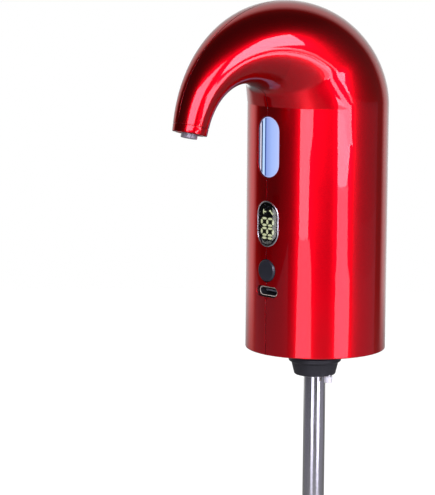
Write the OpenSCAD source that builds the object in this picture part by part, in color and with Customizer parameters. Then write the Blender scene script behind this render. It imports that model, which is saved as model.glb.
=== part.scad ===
// Electric wine aerator: a rechargeable pump head with a gooseneck spout, a stopper and a dip tube.
// Millimetres, +Z up. The origin is on the body's axis, in the plane that the stopper's flange seats on.
// The spout and the controls face -Y, and the casing is split into two halves at X = 0.

/* [Casing] */
// Outside diameter of the straight body
body_d = 51; // [49:0.5:58]
// Wall thickness of the casing
wall = 2.2; // [1.6:0.1:2.6]
// Height of the straight body above the flange's seat
body_rise = 75.2; // [75.2:0.2:90]
// How far the skirt hangs below the flange's seat
skirt_depth = 14; // [8:0.5:24]

/* [Gooseneck] */
// Distance from the body's axis to the end of the spout
spout_reach = 62.6; // [56:0.2:75]
// How far the spout's end lies below the top of the straight body
spout_drop = 4.2; // [0:0.2:12]
// Outside diameter of the spout where the tip ring meets it
spout_end_d = 12.6; // [12:0.2:16]
// Wall thickness at the spout's end
spout_wall = 1.6; // [1.2:0.1:1.8]
// Forward lean of the spout's end from straight down, in degrees
spout_lean = 13.3; // [5:0.1:25]
// Half angle by which the spout still narrows at its end, in degrees
spout_taper = 3.7; // [1:0.1:6]
// Height of the crown's control point above the straight body
crown_rise = 56; // [50:0.5:66]
// Height of the throat's control point above the straight body
throat_rise = 6.4; // [4:0.1:10]
// Height of the ring at the spout's tip
ring_h = 3; // [2:0.1:4]

/* [Controls] */
// Width of the lit pour button
pour_w = 10.5; // [8:0.1:12]
// Height of the lit pour button
pour_h = 22; // [18:0.1:24]
// Height of the pour button's middle above the flange's seat
pour_z = 60.9; // [59:0.1:62]
// Travel of the pour button
pour_travel = 0.8; // [0.4:0.1:1]
// Width of the display
display_w = 10.6; // [9:0.1:12]
// Height of the display
display_h = 16.6; // [14:0.1:18]
// Height of the display's middle above the flange's seat
display_z = 33.5; // [33:0.1:35]
// Diameter of the round power button
power_d = 8.3; // [6:0.1:9]
// Height of the power button's middle above the flange's seat
power_z = 16.7; // [16.5:0.1:17.5]
// Travel of the power button
power_travel = 0.6; // [0.3:0.1:0.9]
// Height of the charging socket's middle above the flange's seat
usb_z = 9.1; // [9:0.1:9.5]

/* [Stopper] */
// Diameter of the stopper's sealing lands
stopper_d = 19.2; // [18.6:0.1:21]
// Length of the stopper below the flange's seat
stopper_len = 24; // [22:0.5:30]
// Diameter of the stopper's flange
stopper_flange_d = 28; // [24:0.5:32]

/* [Dip tube] */
// Outside diameter of the fixed upper tube
tube_d = 8; // [7.8:0.1:8.4]
// Wall thickness of both tubes
tube_wall = 0.45; // [0.3:0.05:0.5]
// Outside diameter of the sliding lower tube
lower_tube_d = 6.4; // [5.6:0.1:6.4]
// How far the upper tube reaches below the flange's seat
tube_reach = 150; // [140:1:180]
// How far the lower tube slides out
tube_travel = 115; // [60:1:125]

/* [Pump and motor] */
// Teeth on each pump gear
gear_teeth = 10; // [8:1:10]
// Module of the pump gears
gear_module = 1; // [0.85:0.05:1]
// Width of the pump gears
gear_w = 6.5; // [5:0.5:7]
// Diameter of the motor
motor_d = 20; // [18:0.2:20]
// Length of the motor's steel can
motor_len = 22; // [20:0.5:26]
// Diameter of the pump's shaft and idler pin
shaft_d = 2; // [1.5:0.1:2.2]

/* [Battery] */
// Diameter of the battery cell
cell_d = 16.4; // [14.2:0.1:16.4]
// Length of the battery cell
cell_len = 34.5; // [30:0.5:34.5]

/* [Clearances] */
// Gap between a button and its hole, on each side
button_gap = 0.12; // [0.08:0.01:0.2]
// Radial running clearance of shafts, tubes and plungers
slip = 0.05; // [0.03:0.01:0.08]
// Gap between parts that drop into the casing
seat_gap = 0.15; // [0.1:0.01:0.25]

/* [Hidden] */
$fn = 96;
body_r = body_d / 2;
bore_r = body_r - wall;
spout_r = spout_end_d / 2;
bend_z = body_rise;
spout_end_z = bend_z - spout_drop;

// Gooseneck rails in the plane X = 0, as [y, z] control points of quartic curves
crown_start = 10;
crown_back = 7.2;
crown_run = 52.3;
throat_start = 1;
throat_back = 5.5;
throat_run = 27;
loft_steps = 32;
loft_sides = 24;
loft_root = 0.5;
loft_skin = 0.02;
spout_across = [-cos(spout_lean), sin(spout_lean)];
spout_end = [-spout_reach, spout_end_z];
inner_end = spout_end - spout_across * spout_r;
outer_end = spout_end + spout_across * spout_r;
inner_rail = [
    [-body_r, bend_z],
    [-body_r, bend_z + throat_start],
    [-body_r + throat_back, bend_z + throat_rise],
    inner_end - throat_run * down(spout_lean + spout_taper),
    inner_end
];
outer_rail = [
    [body_r, bend_z],
    [body_r, bend_z + crown_start],
    [body_r - crown_back, bend_z + crown_rise],
    outer_end - crown_run * down(spout_lean - spout_taper),
    outer_end
];

// Levels of the stack above the flange's seat
flange_t = 2.5;
plate_t = 3;
plate_z = flange_t;
plate_top = plate_z + plate_t;
post_h = 15.5;
pump_z = plate_top + post_h;
pump_base_t = 3;
housing_z = pump_z + pump_base_t;
gasket_t = 0.5;
gear_end_gap = 0.05;
housing_h = gear_w + 2 * gear_end_gap - gasket_t;
gasket_z = housing_z + housing_h;
cover_z = gasket_z + gasket_t;
cover_t = 2.9;
motor_z = cover_z + cover_t;
motor_cap_t = 4;
motor_top = motor_z + motor_len + motor_cap_t;

// Ledges in the casing that hold the base plate, and the bosses for its screws
rib_out = 1.1;
rib_r = bore_r - rib_out;
rib_t = 1.35;
screw_r = 0.95;
screw_head_r = 1.8;
screw_head_h = 1.4;
screw_socket_r = 0.85;
screw_play = 0.15;
screw_hole_r = screw_r + screw_play;
boss_r = 3.2;
boss_h = 9;
boss_in = 3;
boss_ring_r = bore_r - boss_in;
boss_angles = [-24.5, 69];
base_screw_len = 10;

// Dowels across the casing's seam, as [y, z] places of their middles
dowel_r = 1.2;
dowel_len = 7.6;
dowel_boss_r = 2.3;
dowel_boss_len = 4.6;
dowel_end_gap = 0.2;
dowel_in = 1.9;
dowel_low = 11.5;
crown_dowel_t = 0.42;
crown_dowel_in = 4.4;
dowel_places = [
    [-(bore_r - dowel_in), (pour_z - pour_h / 2 + display_z + display_h / 2) / 2],
    [bore_r - dowel_in, plate_top + dowel_low],
    rail_point(crown_dowel_t, 1 - crown_dowel_in / section_width(crown_dowel_t))
];

// Front electronics, all carried by one upright board
board_t = 1.6;
board_in = 8.3;
board_y = -(bore_r - board_in);
board_w = 25;
board_lift = 1.7;
board_room = 2.2;
board_z = plate_top + board_lift;
board_top = bend_z - board_room;
board_screw_x = 10.4;
board_screw_low = 17.3;
board_screw_high = 3;
board_screw_z = [board_z + board_screw_low, board_top - board_screw_high];
switch_w = 6;
switch_h = 3.6;
plunger_r = 1.7;
plunger_out = 1;
plunger_in = 1.2;
plunger_room = 0.2;
plunger_tip_y = board_y - switch_h - plunger_out;
button_rim = 1;
button_stem = 1.4;
flange_back_y = plunger_tip_y - button_stem;
pour_proud = -0.4;
power_proud = 0.4;
led_size = [2.8, 1.2, 3.5];
led_offset = pour_h / 3;
bezel_w = 0.6;
bezel_proud = 0.15;
bezel_lip = 0.5;
bezel_depth = 3.4;
window_t = 0.4;
window_sunk = 0.1;
window_bow = 0.4;
window_back_y = -body_r + window_sunk + window_t + window_bow;
module_gap = 0.3;
module_face_y = -body_r + bezel_depth + module_gap;
segment_t = 0.15;
screen_gap = 0.1;
screen_y = window_back_y + screen_gap + segment_t;
digit_h = 6.3;
digit_w = 3.2;
digit_pitch = 3.5;
digit_stroke = 0.8;
digit_top = 0.6;
digit_shift = -0.45;
usb_w = 8.94;
usb_h = 3.26;
usb_wall = 0.3;
usb_sunk = 1.3;
usb_hole_gap = 0.65;
usb_tongue = [6.7, 4.6, 0.7];
usb_floor = 2.4;

// Stopper and the fitting through its middle
stopper_r = stopper_d / 2;
land_rise = 1;
stopper_core_r = stopper_r - land_rise;
stopper_tip_in = 2.1;
stopper_tip_r = stopper_r - stopper_tip_in;
stopper_neck_r = 8;
stopper_bead_r = 9.4;
stopper_bead_h = 1.5;
land_top_h = 4;
land_h = 1.5;
land_count = 3;
land_edge = 0.5;
stopper_tip_h = 1.5;
land_pitch = 5;
bead_top = plate_top + stopper_bead_h;
socket_wall = 1.15;
socket_r = tube_d / 2 + socket_wall;
socket_out = 0.5;
socket_flange_r = 6.1;
socket_flange_t = 1.4;
socket_stop = 4.2;
socket_barb_h = 6.2;
socket_barb_z = bead_top + socket_flange_t;
barb_r = 2.45;
barb_bore_r = 1.6;
suction_hose_r = 4;
vent_r = 0.8;
vent_ring_r = (socket_r + stopper_core_r) / 2;
vent_cap_r = 1.5;
vent_cap_h = 2.4;
vent_stem_h = 6;
sensor_bead_r = 1.4;
sensor_clip_t = 1.1;
sensor_h = 3.2;

// Dip tube
tube_r = tube_d / 2;
lower_tube_r = lower_tube_d / 2;
tube_seal_wall = 1.1;
tube_seal_r = tube_r + tube_seal_wall;
tube_seal_h = 10;
tube_seal_lip = 2;
collar_h = 6;
stop_gap = 0.3;
collar_z = tube_travel + stop_gap - tube_reach;
foot_wall = 1.3;
foot_r = lower_tube_r + foot_wall;
foot_h = 10;
foot_floor = 4;
foot_slots = 3;
foot_slot_w = 1.8;
foot_slot_h = 3;
lower_end_out = 8;
lower_end_z = -(tube_reach + tube_seal_lip + lower_end_out);

// Gear pump
gear_pressure = 28;
gear_backlash = 0.1;
gear_addendum = 0.9;
gear_dedendum = 1.3;
gear_spread = 0.1;
gear_flank_steps = 6;
gear_pitch_r = gear_teeth * gear_module / 2;
gear_base_r = gear_pitch_r * cos(gear_pressure);
gear_tip_r = gear_pitch_r + gear_addendum * gear_module;
gear_root_r = gear_pitch_r - gear_dedendum * gear_module;
gear_x = gear_pitch_r + gear_spread / 2;
chamber_gap = 0.15;
gear_chamber_r = gear_tip_r + chamber_gap;
shaft_r = shaft_d / 2;
port_r = 1.9;
pump_y = 5.2;
pump_side = 6.3;
pump_end = 4.1;
pump_w = 2 * (gear_x + gear_tip_r + pump_side);
pump_d = 2 * (gear_tip_r + pump_end);
pump_corner_r = 3;
post_side = 2.7;
post_end = 2.6;
post_x = pump_w / 2 - post_side;
post_y = pump_d / 2 - post_end;
post_r = 2.5;
pump_screw_grip = 8;
outlet_gap = 3.2;
outlet_y = pump_y + motor_d / 2 + outlet_gap;
outlet_lug_r = 3.5;
outlet_barb_r = 1.95;
outlet_barb_bore_r = 1.3;
outlet_barb_h = 7.5;
pin_seat = 1.5;
seal_r = 3;
seal_t = 1.6;

// Motor
motor_r = motor_d / 2;
can_wall = 0.8;
can_face = 1;
bush_r = 2.5;
bush_h = 3;
motor_screw_ring = 6;
motor_screw_grip = 1.5;
magnet_t = 1.45;
magnet_span = 120;
magnet_inset = 3.5;
armature_gap = 0.5;
armature_r = motor_r - can_wall - magnet_t - armature_gap;
armature_inset = 5;
armature_z = motor_z + armature_inset;
armature_h = motor_len - 2 * armature_inset;
armature_slots = 3;
armature_slot_w = 2.4;
armature_hub_r = 3;
winding_h = 1.5;
winding_in = 0.8;
winding_bore = 0.4;
commutator_r = 2.6;
commutator_room = 0.8;
commutator_gap = 0.5;
shaft_out = 1;
brush_size = 2.4;
cap_plug_h = 2.9;
terminal_size = [0.6, 2.6, 3.4];
terminal_x = 5;

// Battery and the frame that carries it and the board
cell_r = cell_d / 2;
frame_t = 1.5;
standoff_h = 2.4;
standoff_r = 2.4;
frame_y = board_y + board_t + standoff_h;
cell_out = 1.6;
cell_gap = 0.3;
cell_x = -(bore_r - cell_out - cell_r);
cell_y = frame_y + frame_t + cell_gap + cell_r;
shelf_t = 1.5;
shelf_lift = 2.5;
shelf_z = motor_z + shelf_lift;
contact_t = 0.8;
contact_r = 5;
contact_tab_angle = -35;
contact_tab_w = 2.6;
cell_z = shelf_z + shelf_t + contact_t;
cell_top = cell_z + cell_len;
frame_top = cell_top + contact_t + shelf_t;
frame_side = 20;
frame_foot_side = 15;
frame_foot_h = 11;
frame_foot_top = plate_top + frame_foot_h;
cradle_t = 1.2;
cradle_h = 4;
cradle_count = 2;
tab_w = 5;
tab_d = 3.6;
tab_t = 2;
tab_gap = 0.3;
tab_x = stopper_bead_r + tab_gap + tab_w / 2;
tab_hole_floor = 0.4;
tab_screw_len = 4;
board_screw_len = 5;

// Spout hose, nozzle and clips
hose_r = 3;
hose_bore_r = 2.1;
hose_sides = 12;
hose_steps = 40;
hose_side = (outlet_y + body_r) / body_d;
nozzle_bore_r = 2;
nozzle_tube_r = 2.9;
nozzle_out = 1.5;
nozzle_flange_t = 1.2;
nozzle_sunk = 0.3;
nozzle_neck_h = 4;
nozzle_barb_h = 6;
hose_end_room = 1;
hose_end_h = nozzle_neck_h + nozzle_barb_h + hose_end_room;
nozzle_throat_r = 1.3;
nozzle_holes = 6;
nozzle_hole_r = 0.45;
nozzle_side_hole_z = 2;
nozzle_side_hole_r = 0.5;
mouth_step = 0.1;
mouth_r = spout_r - spout_wall + mouth_step;
ring_seat = ring_h - nozzle_sunk - nozzle_flange_t;
ring_spigot_h = 4;
ring_spigot_wall = 0.8;
clip_t = 0.6;
clip_h = 3.6;
clip_gap = 0.05;
lead_r = 0.6;
lead_sides = 6;
lead_gap = 0.1;
lead_hole_r = 1.1;
battery_lead_out = 2.5;
battery_lead_in = 5;
battery_lead_sag = 0.6;
battery_lead_x = cell_x + cell_r + battery_lead_out;
battery_lead_z = [cell_z + battery_lead_in, cell_top - battery_lead_in];
motor_lead_side = 2;
motor_lead_rise = 4;
motor_lead_arch = 6;
motor_lead_levels = [0.5, 2.5];
motor_lead_x = [gear_x - motor_lead_side, gear_x + motor_lead_side];
motor_lead_z = motor_top + motor_lead_rise;
lead_holes = [
    [battery_lead_x, battery_lead_z[0]],
    [battery_lead_x, battery_lead_z[1]],
    [motor_lead_x[0], motor_lead_z],
    [motor_lead_x[1], motor_lead_z]
];

// Curves

function down(angle) = [-sin(angle), -cos(angle)];

function quartic(p, t) =
    let (s = 1 - t)
    pow(s, 4) * p[0] + 4 * pow(s, 3) * t * p[1] + 6 * pow(s * t, 2) * p[2] + 4 * s * pow(t, 3) * p[3]
        + pow(t, 4) * p[4];

// A point in the plane X = 0, a share of the way from the inner rail to the outer one
function rail_point(t, share) = (1 - share) * quartic(inner_rail, t) + share * quartic(outer_rail, t);

function section_width(t) = norm(quartic(outer_rail, t) - quartic(inner_rail, t));

// A point on the round section at t, turned by angle from the outer rail towards +X and drawn in by inset
function section_point(t, angle, inset) =
    let (
        middle = rail_point(t, 0.5),
        across = (quartic(outer_rail, t) - quartic(inner_rail, t)) / section_width(t),
        r = section_width(t) / 2 - inset
    )
    [r * sin(angle), middle.x + r * cos(angle) * across.x, middle.y + r * cos(angle) * across.y];

// Half of the gooseneck's wall at t: round the outside and back round the inside
function half_section(t, drop) =
    let (thickness = wall + (spout_wall - wall) * t)
    concat(
        [for (j = [0 : loft_sides]) section_point(t, 180 * j / loft_sides, loft_skin) - [0, 0, drop]],
        [for (j = [loft_sides : -1 : 0])
            section_point(t, 180 * j / loft_sides, thickness - loft_skin) - [0, 0, drop]]
    );

// Triangles of the sides between neighbouring rings of count points
function side_faces(rings, count) = [
    for (k = [0 : rings - 2], j = [0 : count - 1])
        let (a = k * count + j, b = k * count + (j + 1) % count)
        each [[a, b, b + count], [a, b + count, a + count]]
];

// Triangles of an end that is a strip between a ring's first half and its second half, which runs back
function strip_faces(first, count, turned) = [
    for (j = [0 : count / 2 - 2])
        let (a = first + j, b = a + 1, d = first + count - 1 - j, c = d - 1)
        each turned ? [[d, c, b], [d, b, a]] : [[a, b, c], [a, c, d]]
];

// Triangles of a round end, as a fan from its first point
function fan_faces(first, count, turned) = [
    for (j = [1 : count - 2])
        turned ? [first + j + 1, first + j, first] : [first, first + j, first + j + 1]
];

function unit(v) = v / norm(v);

function heading(points, k) =
    unit(points[min(k + 1, len(points) - 1)] - points[max(k - 1, 0)]);

// A ring of sides points round a route's point, square to the route
function route_ring(points, k, r, sides, side_axis) =
    let (
        along = heading(points, k),
        normal = unit(cross(side_axis, along)),
        across = cross(normal, along)
    )
    [for (j = [0 : sides - 1])
        let (turn = 360 * j / sides)
        points[k] + r * (cos(turn) * normal + sin(turn) * across)];

// A smooth route through hand-chosen points
function spline_point(p, k, t) =
    let (
        a = p[max(k - 1, 0)], b = p[k], c = p[k + 1], d = p[min(k + 2, len(p) - 1)]
    )
    0.5 * (2 * b + (c - a) * t + (2 * a - 5 * b + 4 * c - d) * t * t + (3 * b - a - 3 * c + d) * pow(t, 3));

function spline(p, steps) = concat(
    [for (k = [0 : len(p) - 2], i = [0 : steps - 1]) spline_point(p, k, i / steps)],
    [p[len(p) - 1]]
);

// Gear teeth: involute flanks between the root and the tip

function involute(angle) = tan(angle) * 180 / PI - angle;

function flank_angle(r) =
    90 / gear_teeth - gear_backlash / 2 / gear_pitch_r * 180 / PI + involute(gear_pressure)
        - involute(acos(min(1, gear_base_r / r)));

function flank_r(i) = gear_base_r + (gear_tip_r - gear_base_r) * i / gear_flank_steps;

function polar(r, angle) = [r * cos(angle), r * sin(angle)];

function tooth(middle) = concat(
    [polar(gear_root_r, middle - flank_angle(gear_base_r))],
    [for (i = [0 : gear_flank_steps]) polar(flank_r(i), middle - flank_angle(flank_r(i)))],
    [for (i = [gear_flank_steps : -1 : 0]) polar(flank_r(i), middle + flank_angle(flank_r(i)))],
    [polar(gear_root_r, middle + flank_angle(gear_base_r))]
);

function gear_outline(turn) = [
    for (k = [0 : gear_teeth - 1]) each tooth(360 * k / gear_teeth + turn)
];

// Shapes that several pieces share

module pill(w, h) {
    square([w, h - w], center = true);
    for (end = [-1, 1])
        translate([0, end * (h - w) / 2]) circle(d = w);
}

module slot(w, h) {
    square([w - h, h], center = true);
    for (end = [-1, 1])
        translate([end * (w - h) / 2, 0]) circle(d = h);
}

module rounded_block(w, d, r) {
    square([w - 2 * r, d], center = true);
    square([w, d - 2 * r], center = true);
    for (x = [-1, 1], y = [-1, 1])
        translate([x * (w / 2 - r), y * (d / 2 - r)]) circle(r);
}

// Extrudes an outline seen from the front, from the plane y = back to the plane y = front
module from_front(z, front, back) {
    translate([0, back, z]) rotate([90, 0, 0]) linear_extrude(back - front) children();
}

// Keeps what lies within a radius of the body's axis
module within(r) {
    intersection() {
        children();
        translate([0, 0, -skirt_depth]) cylinder(h = bend_z + skirt_depth, r = r);
    }
}

module tube(r, bore, h) {
    difference() {
        cylinder(h = h, r = r);
        translate([0, 0, -1]) cylinder(h = h + 2, r = bore);
    }
}

// A screw with its head's seat at the origin and its shank along -Z
module screw(len) {
    translate([0, 0, -len]) cylinder(h = len + 0.1, r = screw_r);
    difference() {
        cylinder(h = screw_head_h, r = screw_head_r);
        translate([0, 0, screw_head_h / 2]) cylinder(h = screw_head_h, r = screw_socket_r, $fn = 6);
    }
}

module at_boss(angle) {
    translate([boss_ring_r * cos(angle), boss_ring_r * sin(angle), 0]) children();
}

module at_posts() {
    for (x = [-1, 1], y = [-1, 1])
        translate([x * post_x, pump_y + y * post_y, 0]) children();
}

// Local -Z runs out along the spout from the plane where the tip ring meets it
module at_spout_end() {
    translate([0, -spout_reach, spout_end_z]) rotate([-spout_lean, 0, 0]) children();
}

// A solid round wire along a route
module wire(route) {
    rings = len(route);
    polyhedron(
        [for (k = [0 : rings - 1]) each route_ring(route, k, lead_r, lead_sides, [1, 0.2, 0])],
        concat(
            side_faces(rings, lead_sides),
            fan_faces(0, lead_sides, true),
            fan_faces((rings - 1) * lead_sides, lead_sides, false)
        )
    );
}

// Casing

module gooseneck_half() {
    rings = concat(
        [half_section(0, loft_root)],
        [for (k = [0 : loft_steps]) half_section(k / loft_steps, 0)]
    );
    count = len(rings[0]);
    polyhedron(
        [for (ring = rings) each ring],
        concat(
            side_faces(len(rings), count),
            strip_faces(0, count, true),
            strip_faces((len(rings) - 1) * count, count, false)
        )
    );
}

module body_half() {
    rotate([0, 0, -90]) rotate_extrude(angle = 180) polygon([
        [body_r, -skirt_depth],
        [body_r, bend_z],
        [bore_r, bend_z],
        [bore_r, plate_top + seat_gap + rib_t],
        [rib_r, plate_top + seat_gap + rib_t],
        [rib_r, plate_top + seat_gap],
        [bore_r, plate_top + seat_gap],
        [bore_r, plate_z - seat_gap],
        [rib_r, plate_z - seat_gap],
        [rib_r, plate_z - seat_gap - rib_t],
        [bore_r, plate_z - seat_gap - rib_t],
        [bore_r, -skirt_depth]
    ]);
}

module control_holes() {
    from_front(pour_z, -body_r - 1, flange_back_y) pill(pour_w, pour_h);
    from_front(display_z, -body_r - 1, flange_back_y) pill(display_w, display_h);
    from_front(power_z, -body_r - 1, flange_back_y) circle(d = power_d);
    from_front(usb_z, -body_r - 1, flange_back_y) slot(usb_w + 2 * usb_hole_gap, usb_h + usb_hole_gap);
}

module right_half() {
    difference() {
        union() {
            body_half();
            gooseneck_half();
            for (angle = boss_angles)
                at_boss(angle) translate([0, 0, plate_top + seat_gap]) cylinder(h = boss_h, r = boss_r);
            for (place = dowel_places)
                translate([0, place.x, place.y]) rotate([0, 90, 0])
                    cylinder(h = dowel_boss_len, r = dowel_boss_r);
        }
        control_holes();
        for (angle = boss_angles)
            at_boss(angle) translate([0, 0, plate_top]) cylinder(h = base_screw_len, r = screw_r + slip);
        for (place = dowel_places)
            translate([-1, place.x, place.y]) rotate([0, 90, 0])
                cylinder(h = dowel_len / 2 + 1 + dowel_end_gap, r = dowel_r + slip);
    }
}

module right_casing() {
    color([0.78, 0.02, 0.06]) right_half();
}

module left_casing() {
    color([0.78, 0.02, 0.06]) mirror([1, 0, 0]) right_half();
}

module casing_dowels() {
    color("gainsboro")
        for (place = dowel_places)
            translate([-dowel_len / 2, place.x, place.y]) rotate([0, 90, 0])
                cylinder(h = dowel_len, r = dowel_r);
}

// Spout

module spout_ring() {
    spigot_r = spout_r - spout_wall - seat_gap;
    color([0.78, 0.02, 0.06]) at_spout_end() rotate_extrude() polygon([
        [spout_r, 0],
        [spout_r - ring_h * tan(spout_taper), -ring_h],
        [mouth_r, -ring_h],
        [mouth_r, -ring_seat],
        [spigot_r - ring_spigot_wall, -ring_seat],
        [spigot_r - ring_spigot_wall, ring_spigot_h],
        [spigot_r, ring_spigot_h],
        [spigot_r, 0]
    ]);
}

module aerator_nozzle() {
    hole_ring = (mouth_r - slip + nozzle_tube_r) / 2;
    color("dimgray") at_spout_end() difference() {
        union() {
            translate([0, 0, -ring_h - nozzle_out])
                cylinder(h = ring_h + nozzle_out + nozzle_neck_h, r = nozzle_tube_r);
            translate([0, 0, -ring_seat - nozzle_flange_t]) cylinder(h = nozzle_flange_t, r = mouth_r - slip);
            translate([0, 0, nozzle_neck_h])
                cylinder(h = nozzle_barb_h, r = hose_bore_r * cos(180 / hose_sides) - slip);
        }
        translate([0, 0, -ring_h - nozzle_out - 1])
            cylinder(h = ring_h + nozzle_out + nozzle_neck_h, r = nozzle_bore_r);
        cylinder(h = nozzle_neck_h + nozzle_barb_h + 1, r = nozzle_throat_r);
        for (k = [0 : nozzle_holes - 1])
            rotate(360 * k / nozzle_holes) translate([hole_ring, 0, -ring_h])
                cylinder(h = ring_h, r = nozzle_hole_r, $fn = 24);
        translate([-spout_r, 0, nozzle_side_hole_z]) rotate([0, 90, 0])
            cylinder(h = spout_end_d, r = nozzle_side_hole_r, $fn = 24);
    }
}

// The hose climbs the back of the body, follows the crown and comes to the spout's middle at its end
function hose_share(t) = hose_side + (0.5 - hose_side) * t * t * (3 - 2 * t);

function hose_route() =
    let (
        start_z = gasket_z + seat_gap,
        climb = [for (k = [0 : 3]) [outlet_y, start_z + (bend_z - start_z) * k / 4]],
        bend = [for (k = [0 : hose_steps]) rail_point(k / hose_steps, hose_share(k / hose_steps))],
        end_heights = [hose_end_h + 1.5, hose_end_h, nozzle_neck_h + seat_gap],
        over_crown = [for (p = bend)
            if (p.x > -body_r || (spout_end - p) * down(spout_lean) > end_heights[0] + 3) p],
        onto_barb = [for (h = end_heights) spout_end - h * down(spout_lean)]
    )
    [for (p = concat(climb, over_crown, onto_barb)) [0, p.x, p.y]];

module spout_hose() {
    route = hose_route();
    rings = len(route);
    outer = [for (k = [0 : rings - 1]) route_ring(route, k, hose_r, hose_sides, [1, 0, 0])];
    inner = [for (k = [0 : rings - 1]) route_ring(route, k, hose_bore_r, hose_sides, [1, 0, 0])];
    half = rings * hose_sides;
    inside = [for (f = side_faces(rings, hose_sides)) [f[2] + half, f[1] + half, f[0] + half]];
    last = (rings - 1) * hose_sides;
    ends = [for (j = [0 : hose_sides - 1])
        let (n = (j + 1) % hose_sides)
        each [
            [half + j, half + n, n], [half + j, n, j],
            [last + j, last + n, half + last + n], [last + j, half + last + n, half + last + j]
        ]
    ];
    color("whitesmoke")
        polyhedron(
            concat([for (ring = outer) each ring], [for (ring = inner) each ring]),
            concat(side_faces(rings, hose_sides), inside, ends)
        );
}

module hose_clip() {
    tube(hose_r + clip_gap + clip_t, hose_r + clip_gap, clip_h);
}

module hose_clips() {
    color("silver") {
        translate([0, outlet_y, gasket_z + outlet_barb_h / 2]) hose_clip();
        at_spout_end() translate([0, 0, nozzle_neck_h + nozzle_barb_h / 2 - clip_h / 2]) hose_clip();
    }
}

// Controls

module pour_button() {
    color([0.5, 0.66, 1]) {
        within(body_r + pour_proud)
            from_front(pour_z, -body_r - 1, flange_back_y)
                pill(pour_w - 2 * button_gap, pour_h - 2 * button_gap);
        within(bore_r - seat_gap)
            from_front(pour_z, -body_r, flange_back_y) pill(pour_w + 2 * button_rim, pour_h + 2 * button_rim);
        from_front(pour_z, flange_back_y - 0.1, plunger_tip_y) circle(plunger_r);
    }
}

module power_button() {
    color([0.1, 0.1, 0.11]) {
        from_front(power_z, -body_r - power_proud, flange_back_y) circle(d = power_d - 2 * button_gap);
        within(bore_r - seat_gap)
            from_front(power_z, -body_r, flange_back_y) circle(d = power_d + 2 * button_rim);
        from_front(power_z, flange_back_y - 0.1, plunger_tip_y) circle(plunger_r);
    }
}

module switch_plunger(z) {
    from_front(z, plunger_tip_y, plunger_tip_y + plunger_out + plunger_in) circle(plunger_r);
}

module switch_body(z, travel) {
    color("dimgray") difference() {
        from_front(z, board_y - switch_h, board_y) square(switch_w, center = true);
        from_front(z, board_y - switch_h - 1, board_y - switch_h + plunger_in + travel + plunger_room)
            circle(plunger_r + slip);
    }
}

module pour_plunger() {
    color("black") switch_plunger(pour_z);
}

module power_plunger() {
    color("black") switch_plunger(power_z);
}

module pour_switch() {
    switch_body(pour_z, pour_travel);
}

module power_switch() {
    switch_body(power_z, power_travel);
}

module pour_leds() {
    color("lightskyblue")
        for (side = [-1, 1])
            translate([-led_size.x / 2, board_y - led_size.y, pour_z + side * led_offset - led_size.z / 2])
                cube(led_size);
}

// The display's outline, grown on every side
module display_pill(grow) {
    pill(display_w + 2 * grow, display_h + 2 * grow);
}

module display_bezel() {
    back = -body_r + bezel_depth;
    color("silver") difference() {
        union() {
            within(body_r + bezel_proud) from_front(display_z, -body_r - 1, back) display_pill(-slip);
            within(bore_r - seat_gap) from_front(display_z, -body_r, back) display_pill(button_rim - slip);
        }
        from_front(display_z, -body_r - 1, window_back_y) display_pill(-slip - bezel_w);
        from_front(display_z, -body_r - 1, 0) display_pill(-slip - bezel_w - bezel_lip);
    }
}

module display_window() {
    color([0.1, 0.11, 0.12])
        within(body_r - window_sunk)
            from_front(display_z, -body_r, window_back_y) display_pill(-slip - bezel_w - slip);
}

// The module's screen stands up through the bezel's lip, close behind the window
module display_module() {
    color("black") {
        from_front(display_z, module_face_y, board_y) display_pill(-bezel_w);
        from_front(display_z, screen_y, board_y) display_pill(-2 * slip - bezel_w - bezel_lip);
    }
}

// A figure of the bars across it at the given levels and the two bars up each given side
module digit(levels, sides) {
    for (level = levels)
        translate([0, level * (digit_h - digit_stroke) / 2])
            square([digit_w - 2.2 * digit_stroke, digit_stroke], center = true);
    for (x = sides, y = [-1, 1])
        translate([x * (digit_w - digit_stroke) / 2, y * (digit_h - digit_stroke) / 4])
            square([digit_stroke, (digit_h - 2.4 * digit_stroke) / 2], center = true);
}

// A one and two eights that read upwards
module display_segments() {
    color([0.93, 0.97, 0.75])
        for (place = [0 : 2])
            translate([digit_shift, 0, 0])
                from_front(display_z + digit_top - place * digit_pitch, screen_y - segment_t, screen_y)
                    rotate(90) digit(place == 2 ? [] : [-1, 0, 1], place == 2 ? [1] : [-1, 1]);
}

module usb_socket() {
    front = -body_r + usb_sunk;
    color("silver") difference() {
        from_front(usb_z, front, board_y) slot(usb_w, usb_h);
        from_front(usb_z, front - 1, board_y - usb_floor) slot(usb_w - 2 * usb_wall, usb_h - 2 * usb_wall);
    }
}

module usb_tongue() {
    color("black")
        translate([-usb_tongue.x / 2, board_y - usb_floor - usb_tongue.y, usb_z - usb_tongue.z / 2])
            cube(usb_tongue);
}

module at_board_screws() {
    for (x = [-1, 1], z = board_screw_z)
        translate([x * board_screw_x, 0, z]) children();
}

module control_board() {
    color("darkgreen") difference() {
        translate([-board_w / 2, board_y, board_z]) cube([board_w, board_t, board_top - board_z]);
        at_board_screws() from_front(0, board_y - 1, board_y + board_t + 1) circle(screw_hole_r);
    }
}

module board_screws() {
    color("silver") at_board_screws() translate([0, board_y, 0]) rotate([90, 0, 0]) screw(board_screw_len);
}

// Frame and battery

module at_tabs() {
    for (side = [-1, 1])
        translate([side * tab_x, frame_y + frame_t + tab_d / 2, 0]) children();
}

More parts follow.
